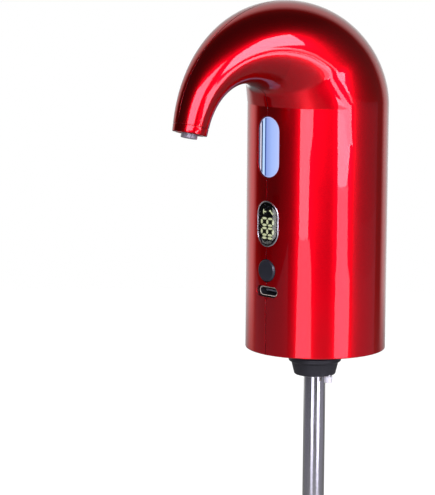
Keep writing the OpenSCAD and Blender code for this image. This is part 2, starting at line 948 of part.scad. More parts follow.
module inner_frame() {
    shelf_y = frame_y + frame_t;
    color("ivory") difference() {
        union() {
            translate([-frame_foot_side, frame_y, plate_top])
                cube([2 * frame_foot_side, frame_t, frame_top - plate_top]);
            translate([-frame_side, frame_y, frame_foot_top])
                cube([frame_side, frame_t, frame_top - frame_foot_top]);
            at_board_screws() from_front(0, board_y + board_t, frame_y + frame_t / 2) circle(standoff_r);
            at_tabs() translate([-tab_w / 2, -tab_d / 2 - frame_t, plate_top])
                cube([tab_w, tab_d + frame_t, tab_t]);
            for (z = [shelf_z, cell_top + contact_t])
                translate([0, 0, z]) linear_extrude(shelf_t) battery_outline(cell_r);
            for (k = [1 : cradle_count])
                translate([0, 0, cell_z + cell_len * k / (cradle_count + 1) - cradle_h / 2])
                    linear_extrude(cradle_h) difference() {
                        battery_outline(cell_r + cradle_t);
                        translate([cell_x, cell_y]) circle(cell_r + slip);
                        translate([cell_x - bore_r, cell_y + cell_r / 3]) square([2 * bore_r, bore_r]);
                    }
        }
        at_board_screws() from_front(0, board_y, frame_y + frame_t + 1) circle(screw_r + slip);
        at_tabs() translate([0, 0, plate_top - 1]) cylinder(h = tab_t + 2, r = screw_hole_r);
        for (hole = lead_holes)
            translate([hole.x, 0, 0])
                from_front(hole.y, frame_y - 1, frame_y + frame_t + 1) circle(lead_hole_r);
    }
}

// The cell's circle joined to the frame's plate
module battery_outline(r) {
    intersection() {
        union() {
            translate([cell_x, cell_y]) circle(r);
            translate([cell_x - r, frame_y + frame_t / 2]) square([2 * r, cell_y - frame_y - frame_t / 2]);
        }
        circle(bore_r - seat_gap);
    }
}

module frame_screws() {
    color("silver") at_tabs() translate([0, 0, plate_top + tab_t]) screw(tab_screw_len);
}

module battery_cell() {
    terminal_r = 3;
    terminal_h = 1;
    color("royalblue") translate([cell_x, cell_y, cell_z]) {
        cylinder(h = cell_len - terminal_h, r = cell_r);
        cylinder(h = cell_len, r = terminal_r);
    }
}

module at_contact_tab() {
    translate([cell_x, cell_y, 0]) rotate(contact_tab_angle) children();
}

module battery_contacts() {
    tab_len = cell_r + contact_tab_w;
    color("gold")
        for (z = [cell_z - contact_t, cell_top]) {
            translate([cell_x, cell_y, z]) cylinder(h = contact_t, r = contact_r);
            at_contact_tab() translate([0, -contact_tab_w / 2, z]) cube([tab_len, contact_tab_w, contact_t]);
        }
}

// Motor

module at_motor() {
    translate([gear_x, pump_y, motor_z]) children();
}

module at_motor_screws() {
    for (side = [-1, 1])
        translate([0, side * motor_screw_ring, 0]) children();
}

module motor_can() {
    color("lightsteelblue") at_motor() difference() {
        cylinder(h = motor_len, r = motor_r);
        translate([0, 0, can_face]) cylinder(h = motor_len, r = motor_r - can_wall);
        translate([0, 0, -1]) cylinder(h = can_face + 2, r = bush_r);
        at_motor_screws() translate([0, 0, -1]) cylinder(h = can_face + 2, r = screw_r + slip);
    }
}

module motor_cap() {
    plug_z = motor_len - cap_plug_h;
    color("dimgray") at_motor() difference() {
        union() {
            translate([0, 0, plug_z]) cylinder(h = cap_plug_h + 0.5, r = motor_r - can_wall - slip);
            translate([0, 0, motor_len]) cylinder(h = motor_cap_t, r = motor_r);
        }
        translate([0, 0, plug_z - 1])
            cylinder(h = cap_plug_h + 1 + motor_cap_t - bush_h, r = commutator_r + commutator_room);
        translate([0, 0, motor_len]) cylinder(h = motor_cap_t + 1, r = bush_r);
        for (side = [-1, 1]) translate([side * motor_r / 2, 0, plug_z])
            cube([motor_r * 0.6, brush_size, 2 * brush_size], center = true);
    }
}

module motor_brushes() {
    plug_z = motor_len - cap_plug_h;
    inner = commutator_r + slip;
    outer = motor_r / 2 + motor_r * 0.3;
    color("darkslategray") at_motor()
        for (side = [0, 180])
            rotate(side) translate([inner, -brush_size / 2 + slip, plug_z]) difference() {
                cube([outer - inner - slip, brush_size - 2 * slip, brush_size - slip]);
                translate([-inner, brush_size / 2 - slip, -1]) cylinder(h = brush_size + 2, r = inner);
            }
}

module motor_magnets() {
    outer = motor_r - can_wall - slip;
    color("slategray") at_motor()
        for (side = [0, 180])
            rotate(side - magnet_span / 2) rotate_extrude(angle = magnet_span)
                translate([outer - magnet_t, magnet_inset]) square([magnet_t, motor_len - 2 * magnet_inset]);
}

module motor_bushes() {
    color("peru") at_motor() {
        tube(bush_r - slip, shaft_r + slip, bush_h);
        translate([0, 0, motor_len + motor_cap_t - bush_h]) tube(bush_r - slip, shaft_r + slip, bush_h);
    }
}

module motor_terminals() {
    color("gold") at_motor()
        for (side = [-1, 1])
            translate([side * terminal_x, 0, motor_len + motor_cap_t + terminal_size.z / 2])
                cube(terminal_size, center = true);
}

module motor_shaft() {
    bottom = housing_z - pin_seat + gear_end_gap;
    color("silver") translate([gear_x, pump_y, bottom])
        cylinder(h = motor_top + shaft_out - bottom, r = shaft_r);
}

module motor_armature() {
    color("gray") translate([gear_x, pump_y, armature_z]) linear_extrude(armature_h) difference() {
        circle(armature_r);
        circle(shaft_r);
        for (k = [0 : armature_slots - 1])
            rotate(360 * k / armature_slots) translate([armature_hub_r, -armature_slot_w / 2])
                square([armature_r, armature_slot_w]);
    }
}

module motor_windings() {
    color("chocolate") translate([gear_x, pump_y, 0])
        for (z = [armature_z - winding_h, armature_z + armature_h])
            translate([0, 0, z]) tube(armature_r - winding_in, shaft_r + winding_bore, winding_h);
}

module motor_commutator() {
    color("peru") translate([gear_x, pump_y, armature_z + armature_h + winding_h])
        tube(
            commutator_r, shaft_r,
            motor_top - bush_h - commutator_gap - armature_z - armature_h - winding_h
        );
}

module motor_screws() {
    color("silver") at_motor() at_motor_screws()
        translate([0, 0, -cover_t + screw_head_h]) rotate([180, 0, 0])
            screw(cover_t - screw_head_h + motor_screw_grip);
}

// Pump

module pump_outline() {
    translate([0, pump_y]) rounded_block(pump_w, pump_d, pump_corner_r);
}

module gear_chamber() {
    for (side = [-1, 1])
        translate([side * gear_x, pump_y]) circle(gear_chamber_r);
    for (side = [-1, 1])
        translate([0, pump_y + side * pump_y]) circle(port_r);
    square([gear_x, 2 * port_r], center = true);
    translate([0, 2 * pump_y]) square([gear_x, 2 * port_r], center = true);
}

module pump_screw_holes() {
    at_posts() circle(screw_hole_r);
}

module pump_base() {
    color("ivory") difference() {
        union() {
            translate([0, 0, pump_z]) linear_extrude(pump_base_t) difference() {
                pump_outline();
                pump_screw_holes();
            }
            translate([0, 0, pump_z - socket_barb_h + 0.2]) cylinder(h = socket_barb_h, r = barb_r);
        }
        translate([0, 0, pump_z - socket_barb_h])
            cylinder(h = pump_base_t + socket_barb_h + 1, r = barb_bore_r);
        for (side = [-1, 1])
            translate([side * gear_x, pump_y, housing_z - pin_seat])
                cylinder(h = pin_seat + 1, r = shaft_r + slip);
    }
}

module pump_housing() {
    mid_z = housing_h / 2;
    color("ivory") translate([0, 0, housing_z]) difference() {
        union() {
            linear_extrude(housing_h) {
                pump_outline();
                translate([0, outlet_y]) circle(outlet_lug_r);
                translate([-outlet_lug_r, pump_y]) square([2 * outlet_lug_r, outlet_y - pump_y]);
            }
            translate([0, outlet_y, housing_h - 0.1]) cylinder(h = outlet_barb_h, r = outlet_barb_r);
        }
        translate([0, 0, -1]) linear_extrude(housing_h + 2) {
            gear_chamber();
            pump_screw_holes();
        }
        translate([0, outlet_y, mid_z]) rotate([90, 0, 0]) cylinder(h = outlet_y - 2 * pump_y, r = port_r);
        translate([0, outlet_y, mid_z]) cylinder(h = housing_h + outlet_barb_h, r = outlet_barb_bore_r);
    }
}

module pump_gasket() {
    color("black") translate([0, 0, gasket_z]) linear_extrude(gasket_t) difference() {
        pump_outline();
        gear_chamber();
        pump_screw_holes();
    }
}

module pump_cover() {
    color("ivory") difference() {
        translate([0, 0, cover_z]) linear_extrude(cover_t) difference() {
            pump_outline();
            pump_screw_holes();
        }
        translate([gear_x, pump_y, cover_z - 1]) cylinder(h = cover_t + 2, r = shaft_r + slip);
        translate([gear_x, pump_y, motor_z - seal_t]) cylinder(h = seal_t + 1, r = seal_r);
        translate([-gear_x, pump_y, cover_z - 1]) cylinder(h = 1 + pin_seat, r = shaft_r + slip);
        at_motor() at_motor_screws() {
            translate([0, 0, -cover_t - 1]) cylinder(h = cover_t + 2, r = screw_hole_r);
            translate([0, 0, -cover_t - 1]) cylinder(h = 1 + screw_head_h, r = screw_head_r + slip);
        }
    }
}

module pump_screws() {
    color("silver") at_posts() translate([0, 0, motor_z]) screw(motor_z - pump_z + pump_screw_grip);
}

module shaft_seal() {
    color("black") translate([gear_x, pump_y, motor_z - seal_t]) tube(seal_r - slip, shaft_r + slip, seal_t);
}

module gear(turn, bore) {
    linear_extrude(gear_w) difference() {
        polygon(gear_outline(turn));
        circle(bore);
    }
}

module drive_gear() {
    color("burlywood") translate([gear_x, pump_y, housing_z + gear_end_gap]) gear(180, shaft_r);
}

module idler_gear() {
    color("burlywood") translate([-gear_x, pump_y, housing_z + gear_end_gap])
        gear(180 / gear_teeth, shaft_r + slip);
}

module idler_pin() {
    bottom = housing_z - pin_seat;
    color("silver") translate([-gear_x, pump_y, bottom])
        cylinder(h = cover_z + pin_seat - bottom, r = shaft_r);
}

// Base and stopper

module base_plate() {
    color("ivory") difference() {
        union() {
            translate([0, 0, plate_z]) cylinder(h = plate_t, r = bore_r - seat_gap);
            at_posts() translate([0, 0, plate_top - 0.1]) cylinder(h = post_h + 0.1, r = post_r);
        }
        translate([0, 0, plate_z - 1]) cylinder(h = plate_t + 2, r = stopper_neck_r);
        for (side = [0, 1], angle = boss_angles)
            mirror([side, 0, 0]) at_boss(angle) translate([0, 0, plate_z - 1])
                cylinder(h = plate_t + 2, r = screw_hole_r);
        at_posts() translate([0, 0, pump_z - pump_screw_grip - 1])
            cylinder(h = pump_screw_grip + 2, r = screw_r + slip);
        at_tabs() translate([0, 0, plate_z + tab_hole_floor]) cylinder(h = plate_t, r = screw_r + slip);
    }
}

module base_screws() {
    color("silver")
        for (side = [0, 1], angle = boss_angles)
            mirror([side, 0, 0]) at_boss(angle) translate([0, 0, plate_z]) rotate([180, 0, 0])
                screw(base_screw_len);
}

module at_vent() {
    translate([vent_ring_r, 0, 0]) children();
}

module stopper() {
    lands = [for (k = [1 : land_count]) -land_top_h - k * land_pitch];
    color([0.12, 0.12, 0.13]) difference() {
        rotate_extrude() polygon(concat(
            [
                [socket_r, bead_top], [stopper_bead_r, bead_top], [stopper_bead_r, plate_top],
                [stopper_neck_r, plate_top], [stopper_neck_r, plate_z], [stopper_flange_d / 2, plate_z],
                [stopper_flange_d / 2, 0], [stopper_r, 0],
                [stopper_r, -land_top_h], [stopper_core_r, -land_top_h - land_edge]
            ],
            [for (z = lands) each [
                [stopper_core_r, z + land_h + land_edge], [stopper_r, z + land_h],
                [stopper_r, z], [stopper_core_r, z - land_edge]
            ]],
            [
                [stopper_core_r, -stopper_len + stopper_tip_h],
                [stopper_tip_r, -stopper_len],
                [socket_r, -stopper_len]
            ]
        ));
        at_vent() translate([0, 0, -stopper_len - 1]) cylinder(h = stopper_len + bead_top + 2, r = vent_r);
    }
}

module tube_socket() {
    color("white") rotate_extrude() polygon([
        [barb_bore_r, socket_barb_z + socket_barb_h],
        [barb_r, socket_barb_z + socket_barb_h],
        [barb_r, socket_barb_z],
        [socket_flange_r, socket_barb_z],
        [socket_flange_r, bead_top],
        [socket_r - slip, bead_top],
        [socket_r - slip, -stopper_len - socket_out],
        [tube_r + slip, -stopper_len - socket_out],
        [tube_r + slip, -socket_stop],
        [barb_bore_r, -socket_stop]
    ]);
}

module suction_hose() {
    low = socket_barb_z + seat_gap;
    color("whitesmoke") translate([0, 0, low])
        tube(suction_hose_r, barb_r + slip, pump_z - seat_gap - low);
}

module temperature_sensor() {
    z = (socket_barb_z + pump_z - sensor_h) / 2;
    color("black") translate([0, 0, z]) {
        tube(suction_hose_r + slip + sensor_clip_t, suction_hose_r + slip, sensor_h);
        translate([0, -suction_hose_r - slip - sensor_clip_t - sensor_bead_r / 2, 0])
            cylinder(h = sensor_h, r = sensor_bead_r);
    }
}

module vent_valve() {
    color("white") at_vent() {
        translate([0, 0, -stopper_len - vent_cap_h]) cylinder(h = vent_cap_h, r = vent_cap_r);
        translate([0, 0, -stopper_len - 0.1]) cylinder(h = vent_stem_h, r = vent_r - slip);
    }
}

// Dip tube

module upper_tube() {
    color("silver") translate([0, 0, -tube_reach]) tube(tube_r, tube_r - tube_wall, tube_reach - socket_stop);
}

module tube_seal() {
    color([0.12, 0.12, 0.13]) translate([0, 0, -tube_reach - tube_seal_lip]) difference() {
        tube(tube_seal_r, lower_tube_r + slip, tube_seal_h);
        translate([0, 0, tube_seal_lip]) cylinder(h = tube_seal_h, r = tube_r + slip);
    }
}

module lower_tube() {
    color("silver") translate([0, 0, lower_end_z])
        tube(lower_tube_r, lower_tube_r - tube_wall, collar_z + collar_h - lower_end_z);
}

module stop_collar() {
    color("white") translate([0, 0, collar_z])
        tube(tube_r - tube_wall - slip, lower_tube_r, collar_h);
}

module intake_foot() {
    color([0.12, 0.12, 0.13]) translate([0, 0, lower_end_z - foot_floor]) difference() {
        tube(foot_r, lower_tube_r - tube_wall, foot_h);
        translate([0, 0, foot_floor]) cylinder(h = foot_h, r = lower_tube_r + slip);
        for (k = [0 : foot_slots - 1])
            rotate(180 * k / foot_slots) translate([0, 0, foot_slot_h / 2 - 0.5])
                cube([4 * foot_r, foot_slot_w, foot_slot_h + 1], center = true);
    }
}

// Wiring

// The last points of a lead's route: through its hole in the frame to the back of the board
function to_board(x, z) = [
    [x, frame_y + frame_t, z],
    [x, board_y + board_t + standoff_h / 2, z],
    [x, board_y + board_t, z]
];

module battery_leads() {
    start_r = cell_r + contact_tab_w / 2;
    start = [cell_x + start_r * cos(contact_tab_angle), cell_y + start_r * sin(contact_tab_angle)];
    levels = [cell_z + lead_r + lead_gap, cell_top - lead_r - lead_gap];
    color("red")
        for (k = [0, 1])
            wire(spline(concat(
                [
                    [start.x, start.y, levels[k]],
                    [
                        (start.x + battery_lead_x) / 2, start.y - battery_lead_sag,
                        (2 * levels[k] + battery_lead_z[k]) / 3
                    ]
                ],
                to_board(battery_lead_x, battery_lead_z[k])
            ), 4));
}

module motor_leads() {
    start_x = terminal_x - terminal_size.x / 2 - lead_r - lead_gap;
    color("red")
        for (k = [0, 1])
            let (side = 2 * k - 1)
            wire(spline(concat(
                [
                    [gear_x + side * start_x, pump_y, motor_top + motor_lead_levels[0]],
                    [gear_x + side * start_x, pump_y, motor_top + motor_lead_levels[1]],
                    [gear_x + side * terminal_x / 2, (pump_y + frame_y) / 2, motor_top + motor_lead_arch]
                ],
                to_board(motor_lead_x[k], motor_lead_z)
            ), 4));
}

left_casing();
right_casing();
casing_dowels();
spout_ring();
aerator_nozzle();
spout_hose();
hose_clips();
pour_button();
pour_plunger();
pour_switch();
pour_leds();
display_bezel();
display_window();
display_module();
display_segments();
power_button();
power_plunger();
power_switch();
usb_socket();
usb_tongue();
control_board();
board_screws();
inner_frame();
frame_screws();
battery_cell();
battery_contacts();
motor_can();
motor_cap();
motor_magnets();
motor_bushes();
motor_brushes();
motor_terminals();
motor_shaft();
motor_armature();
motor_windings();
motor_commutator();
motor_screws();
pump_base();
pump_housing();
pump_gasket();
pump_cover();
pump_screws();
shaft_seal();
drive_gear();
idler_gear();
idler_pin();
base_plate();
base_screws();
stopper();
tube_socket();
suction_hose();
temperature_sensor();
vent_valve();
upper_tube();
tube_seal();
lower_tube();
stop_collar();
intake_foot();
battery_leads();
motor_leads();
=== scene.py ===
import itertools
from math import asin, atan, comb, cos, hypot, pi, radians, sin, sqrt, tan, tau

import bmesh
import bpy
from mathutils import Matrix, Vector, geometry


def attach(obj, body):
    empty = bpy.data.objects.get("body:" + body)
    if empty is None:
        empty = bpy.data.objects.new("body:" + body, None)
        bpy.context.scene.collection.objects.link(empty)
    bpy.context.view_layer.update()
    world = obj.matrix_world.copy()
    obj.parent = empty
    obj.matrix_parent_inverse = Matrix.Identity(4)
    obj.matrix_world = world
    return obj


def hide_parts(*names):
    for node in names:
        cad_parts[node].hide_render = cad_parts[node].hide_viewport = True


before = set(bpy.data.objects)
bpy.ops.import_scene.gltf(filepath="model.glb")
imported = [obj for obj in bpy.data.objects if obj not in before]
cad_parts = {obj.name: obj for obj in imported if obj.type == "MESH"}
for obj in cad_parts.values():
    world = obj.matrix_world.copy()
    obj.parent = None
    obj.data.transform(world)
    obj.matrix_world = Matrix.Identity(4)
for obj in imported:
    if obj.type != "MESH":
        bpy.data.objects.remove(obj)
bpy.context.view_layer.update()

scene = bpy.context.scene

# Camera. A long lens stands to the right of the spout and a little above the body, tilted down.
# The object stands right of the middle of the frame, so the camera is turned to the left of it.
lens_mm, sensor_mm, view_depth = 181.0, 36.0, 50.0
camera_place = Vector((0.6212, -0.6432, 0.1570))
camera_azimuth = radians(44.0)
camera_tilt, camera_roll = 0.1493, 0.0130
picture_shift, picture_focus = 98.95, 2489.1
camera_turn = atan(picture_shift / picture_focus)


def swung(first, second, angle):
    """Two square directions after a turn by an angle in their plane."""
    c, s = cos(angle), sin(angle)
    return c * first + s * second, c * second - s * first


ahead = Vector((-sin(camera_azimuth) * cos(camera_tilt),
                cos(camera_azimuth) * cos(camera_tilt), -sin(camera_tilt)))
level_right = ahead.cross(Vector((0, 0, 1))).normalized()
right, up = swung(level_right, level_right.cross(ahead), camera_roll)
right, ahead = swung(right, ahead, camera_turn)
camera_data = bpy.data.cameras.new("camera")
camera_data.lens = lens_mm
camera_data.sensor_width = sensor_mm
camera_data.clip_end = view_depth
camera = bpy.data.objects.new("camera", camera_data)
camera.matrix_world = Matrix.Translation(camera_place) @ Matrix((right, up, -ahead)).transposed().to_4x4()
scene.collection.objects.link(camera)
scene.camera = camera
scene.view_settings.view_transform = "Standard"

# Studio. A white table top under the extended tube, a white backdrop behind the object and a dark room
# round the rest. Softboxes, strips and dim boards stand round the camera, one more strip stands close
# to the spout, and two small cards show only in the display's window.
table_level, table_radius, table_sides = -0.30, 2.00, 120
table_halo, halo_glow, table_edge = (0.15, 0.60), (0.70, 1.0), (1.30, 1.85)
table_shine, table_tone, table_rough = 0.13, (0.20, 0.20, 0.20, 1), 0.6
backdrop_turn = radians(6)
backdrop_cosine, wall_cosine = (0.52, 0.68), (0.4, 0.9)
room_grey, wall_grey, fill_grey = 0.04, 0.11, 0.30
white, cloth_tone, card_tone = (1, 1, 1, 1), (0.92, 0.88, 1.12, 1), (1.0, 1.0, 0.98, 1)
# A lamp is a strength and rows across its cloth: the turns of the left and right end from the camera and
# their elevation, or one for each, in degrees, seen from the middle of its stand.
lamp_cloths = {
    "softbox_left": (8.4, [(-24, 15, 7, 4), (-17, 31, 33)]),
    "softbox_right": (12.0, [(52.3, 56.8, 5), (48.5, 54, 8.5), (45.5, 53, 10.5), (43, 57, 14), (41.5, 60, 17),
                             (40.5, 61, 20), (39.5, 62, 26), (50, 63, 37, 38)]),
    "softbox_right_low": (4.5, [(56, 60.5, 0), (54, 58.5, 3), (52.3, 56.8, 5)]),
    "strip_spout": (8.5, [(63, 72, -10), (58, 69, -7), (52, 63, -3.5), (48, 56, -0.5), (45, 53, 2.5),
                          (42.5, 51, 5)]),
    "strip_left": (6.3, [(-28, -7, -1.6), (-28, -8, -2.8), (-28, -12, -3.6), (-28, -13.5, -6.8)]),
    "strip_left_low": (3.2, [(-28.5, -11, -6.8), (-29.5, -7.5, -8), (-32, -6.5, -11.5), (-33, -6, -13.5)]),
    "strip_right": (10.6, [(31.5, 55, -1.6), (32, 55, -2.6), (32.5, 53, -3.4), (33, 49, -4.7)]),
    "strip_right_low": (4.1, [(33, 50.5, -4.7), (33, 51.5, -7.7), (31.5, 56, -8.4), (31, 56, -9.7),
                              (31, 54, -13.5)]),
    "board_right": (0.25, [(60.5, 112, -5.5), (58, 112, 3)]),
    "board_right_mid": (0.31, [(61, 112, -7.5), (60.5, 112, -5.5)]),
    "board_right_low": (0.37, [(63, 112, -14), (61, 112, -7.5)]),
    "board_left": (0.28, [(-116, -46, -14), (-116, -46, -8, -7)]),
    "card_side": (5.0, [(-76.3, -62, -11.5), (-75.3, -62, -3.4)]),
    "card_foot": (1.7, [(-104, -76.3, -14.5), (-104, -76.3, -10.6)]),
}
lamp_stand = (Vector((0, 0, 0)), 1.2)
spout_stand = (Vector((0, -0.060, 0.080)), 0.20)
display_stand = (Vector((0, -0.025, 0.0335)), 0.15)
near_stands = {"strip_spout": spout_stand, "card_side": display_stand, "card_foot": display_stand}


def node_maker(tree):
    """Gives a tree's add call: makes a node (shader kinds without their prefix) and fills its inputs."""
    def add(kind, values=None, **settings):
        node = tree.nodes.new(kind if "Node" in kind else "ShaderNode" + kind)
        for key, value in settings.items():
            setattr(node, key, value)
        for key, value in (values or {}).items():
            if isinstance(value, bpy.types.Node):
                value = value.outputs[0]
            if isinstance(value, bpy.types.NodeSocket):
                tree.links.new(value, node.inputs[key])
            else:
                node.inputs[key].default_value = value
        return node

    return add


def blank(made):
    """Empties the nodes of a new material or world and gives their add call."""
    made.use_nodes = True
    made.node_tree.nodes.clear()
    return node_maker(made.node_tree)


def new_material(name):
    made = bpy.data.materials.new(name)
    return made, blank(made)


def maths(add, operation, *values):
    return add("Math", dict(enumerate(values)), operation=operation)


def ranged(add, value, start, end=(0.0, 1.0)):
    """A value moved from one span to another."""
    return add("MapRange", {"Value": value, "From Min": start[0], "From Max": start[1], "To Min": end[0],
                            "To Max": end[1]})


def here(add):
    return add("TexCoord").outputs["Object"]


def seen_by_eye(add):
    """Masks of camera rays, and of rays from the camera, a gloss or a clear piece."""
    path = add("LightPath").outputs
    either = maths(add, "MAXIMUM", path["Is Camera Ray"], path["Is Glossy Ray"])
    return path["Is Camera Ray"], maths(add, "MAXIMUM", either, path["Is Transmission Ray"])


def raw_mesh(name, points, faces):
    mesh = bpy.data.meshes.new(name)
    mesh.from_pydata(points, [], faces)
    return mesh


def show(name, mesh):
    """Puts a mesh in the scene as an object that sits at the origin."""
    piece = bpy.data.objects.new(name, mesh)
    scene.collection.objects.link(piece)
    return piece


table_white, add = new_material("table_white")
by_camera, by_eye = seen_by_eye(add)
flat = add("VectorMath", {0: here(add), 1: (1, 1, 0)}, operation="MULTIPLY")
radius = add("VectorMath", {0: flat}, operation="LENGTH").outputs["Value"]
glow_level = add("Mix", {0: by_camera, 2: table_shine, 3: ranged(add, radius, table_halo, halo_glow)},
                 data_type="FLOAT")
glow = add("Emission", {"Color": white, "Strength": glow_level})
board = add("BsdfPrincipled", {"Base Color": table_tone, "Roughness": table_rough})
shown = add("MixShader", {0: by_eye, 1: board, 2: add("AddShader", {0: glow, 1: board})})
faded = add("MixShader", {0: ranged(add, radius, table_edge), 1: shown, 2: add("BsdfTransparent")})
add("OutputMaterial", {"Surface": faded})
rim = [(table_radius * cos(a), table_radius * sin(a), table_level)
       for a in (tau * k / table_sides for k in range(table_sides))]
table_mesh = raw_mesh("table_top", rim, [list(range(table_sides))])
table_mesh.materials.append(table_white)
show("table_top", table_mesh)

card_mirrors = bpy.data.collections.new("card_mirrors")
for name, (strength, rows) in lamp_cloths.items():
    is_card = name.startswith("card")
    cloth, add = new_material(name)
    light = add("Emission", {"Color": card_tone if is_card else cloth_tone, "Strength": strength})
    add("OutputMaterial", {"Surface": light})
    middle, reach = near_stands.get(name, lamp_stand)
    front = []
    for left_turn, right_turn, *lifts in rows:
        for turn, lift in ((left_turn, lifts[0]), (right_turn, lifts[-1])):
            a, e = camera_azimuth + radians(turn), radians(lift)
            aim = Vector((cos(e) * sin(a), -cos(e) * cos(a), sin(e)))
            front.append(middle + reach * aim)
    mesh = raw_mesh(name, front, [(2 * k, 2 * k + 1, 2 * k + 3, 2 * k + 2) for k in range(len(rows) - 1)])
    mesh.materials.append(cloth)
    lamp = show(name, mesh)
    lamp.visible_camera = False
    if is_card:
        lamp.light_linking.receiver_collection = card_mirrors

scene.world = bpy.data.worlds.new("studio")
add = blank(scene.world)
by_camera, by_eye = seen_by_eye(add)
heading = add("TexCoord").outputs["Generated"]
behind = camera_azimuth + backdrop_turn
away = add("VectorMath", {0: heading, 1: (-sin(behind), cos(behind), 0)},
           operation="DOT_PRODUCT").outputs["Value"]
rightward = add("VectorMath", {0: heading, 1: level_right}, operation="DOT_PRODUCT").outputs["Value"]
backdrop = ranged(add, away, backdrop_cosine, (room_grey, 1.0))
room = maths(add, "MAXIMUM", backdrop, ranged(add, rightward, wall_cosine, (0.0, wall_grey)))
seen = maths(add, "MAXIMUM", by_camera, room)
level = add("Mix", {0: by_eye, 2: fill_grey, 3: seen}, data_type="FLOAT")
sky = add("Background", {"Color": white, "Strength": level})
add("OutputWorld", {"Surface": sky})

# Dip tube. A drawn stainless tube hangs from the stopper and a thinner one slides in it, with a
# rubber wiper at the upper tube's mouth, a nylon collar inside and a slotted rubber foot.
mm = 0.001
merge_gap, crease_angle, fillet_share = 0.0005 * mm, radians(32), 0.49
noise_span, broad_share, broad_rough, relief_strength = (0.3, 0.7), 0.14, 0.6, 0.5
tube_wall, tube_round = 0.45, 0.12
tubes = {"upper_tube": (4.0, -150.0, -4.2, "aerator_head"),
         "lower_tube": (3.2, -160.0, -28.7, "sliding_tube")}
wiper_profile = [(5.1, -152, 0.5), (5.1, -142, 0.4), (4.0, -142, 0), (4.0, -150, 0), (3.25, -150, 0.1),
                 (3.25, -152, 0.2)]
collar_profile = [(3.5, -34.7, 0.1), (3.5, -28.7, 0.1), (3.2, -28.7, 0), (3.2, -34.7, 0)]
foot_profile = [(2.75, -164, 0.2), (4.5, -164, 0.7), (4.5, -155.6, 0), (4.0, -154, 0.3), (3.2, -154, 0),
                (3.2, -160, 0), (2.75, -160, 0)]
foot_slot, slot_turns = ((-6, -0.9, -166), (6, 0.9, -161)), (0, 60, 120)


def socketed(tree, direction, kinds):
    """Gives a node group sockets from their names and kinds."""
    for label, kind in kinds.items():
        tree.interface.new_socket(name=label, in_out=direction, socket_type="NodeSocket" + kind)


def noise(add, place, scale, detail):
    return add("TexNoise", {"Vector": place, "Scale": scale, "Detail": detail})


def scaled(add, colour, share):
    return add("VectorMath", {0: colour, "Scale": share}, operation="SCALE")


def surface_group(name, stretch):
    """A shader group for the tone, gloss and fine relief of a surface; stretch sets its grain's run."""
    group = bpy.data.node_groups.new(name, "ShaderNodeTree")
    socketed(group, "INPUT", {"Tone": "Color", "Drift": "Float", "Grain": "Float", "Smooth": "Float",
                              "Dull": "Float"})
    socketed(group, "OUTPUT", {"Color": "Color", "Roughness": "Float", "Height": "Float"})
    add = node_maker(group)
    given = add("NodeGroupInput").outputs
    run = add("Mapping", {"Vector": here(add), "Scale": stretch})
    fine = noise(add, run, given["Grain"], 3.0)
    broad = noise(add, run, maths(add, "MULTIPLY", given["Grain"], broad_share), 4.0)
    broad.inputs["Roughness"].default_value = broad_rough
    kept = maths(add, "SUBTRACT", 1.0, ranged(add, broad, noise_span, (given["Drift"], 0.0)))
    tone = scaled(add, given["Tone"], kept)
    gloss = ranged(add, fine, noise_span, (given["Smooth"], given["Dull"]))
    add("NodeGroupOutput", {"Color": tone, "Roughness": gloss, "Height": fine})
    return group


moulded = surface_group("moulded_surface", (1, 1, 1))
drawn = surface_group("drawn_surface", (1, 1, 0.04))


def surfaced(made, add, **sockets):
    """Ends a material in a principled shader of these values; underscores stand for spaces."""
    values = {label.replace("_", " "): value for label, value in sockets.items()}
    add("OutputMaterial", {"Surface": add("BsdfPrincipled", values)})
    return made


def finish(name, tone, drift, grain, smooth, dull, relief, surface=moulded, **sockets):
    """A material of one surface group, with its relief in millimetres and plain shader values."""
    made, add = new_material(name)
    values = {"Tone": tone, "Drift": drift, "Grain": grain, "Smooth": smooth, "Dull": dull}
    effect = add("Group", values, node_tree=surface).outputs
    bump = add("Bump", {"Height": effect["Height"], "Strength": relief_strength, "Distance": relief * mm})
    return surfaced(made, add, Base_Color=effect["Color"], Roughness=effect["Roughness"], Normal=bump,
                    **sockets)


def creased(mesh):
    """Smooths a mesh but for its sharp edges."""
    mesh.shade_smooth()
    mesh.set_sharp_from_angle(angle=crease_angle)
    return mesh


def solid_mesh(name, points, faces):
    """A closed mesh from points in millimetres: doubles merged, faces outward, smooth but for creases."""
    mesh = raw_mesh(name, [Vector(p) * mm for p in points], faces)
    shape = bmesh.new()
    shape.from_mesh(mesh)
    bmesh.ops.remove_doubles(shape, verts=shape.verts, dist=merge_gap)
    bmesh.ops.dissolve_degenerate(shape, edges=shape.edges, dist=merge_gap)
    bmesh.ops.recalc_face_normals(shape, faces=shape.faces)
    shape.to_mesh(mesh)
    shape.free()
    return creased(mesh)


def fitted(name, shape, material, slot, *nodes, body="aerator_head"):
    """Shows a mesh, or points and faces, in a material, riding on a body and standing for the named nodes."""
    mesh = solid_mesh(name, *shape) if isinstance(shape, tuple) else shape
    mesh.materials.clear()
    mesh.materials.append(material)
    piece = show(name, mesh)
    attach(piece, body)
    if nodes:
        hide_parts(*nodes)
    return piece


def dressed(material, *names):
    """Gives a material to nodes that keep the shape they have in the frame."""
    for name in names:
        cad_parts[name].material_slots[0].material = material


def filleted(profile, steps=4):
    """Rounds the corners of a closed outline of (r, z, fillet radius)."""
    outline = []
    for k, (r, z, fillet) in enumerate(profile):
        corner = Vector((r, z))
        before = Vector(profile[k - 1][:2]) - corner
        after = Vector(profile[(k + 1) % len(profile)][:2]) - corner
        if not fillet:
            outline.append(corner)
            continue
        half = before.angle(after) / 2
        back = min(fillet / tan(half), before.length * fillet_share, after.length * fillet_share)
        start, end = corner + before.normalized() * back, corner + after.normalized() * back
        for s in range(steps + 1):
            u = s / steps
            outline.append((1 - u) ** 2 * start + 2 * u * (1 - u) * corner + u * u * end)
    return outline


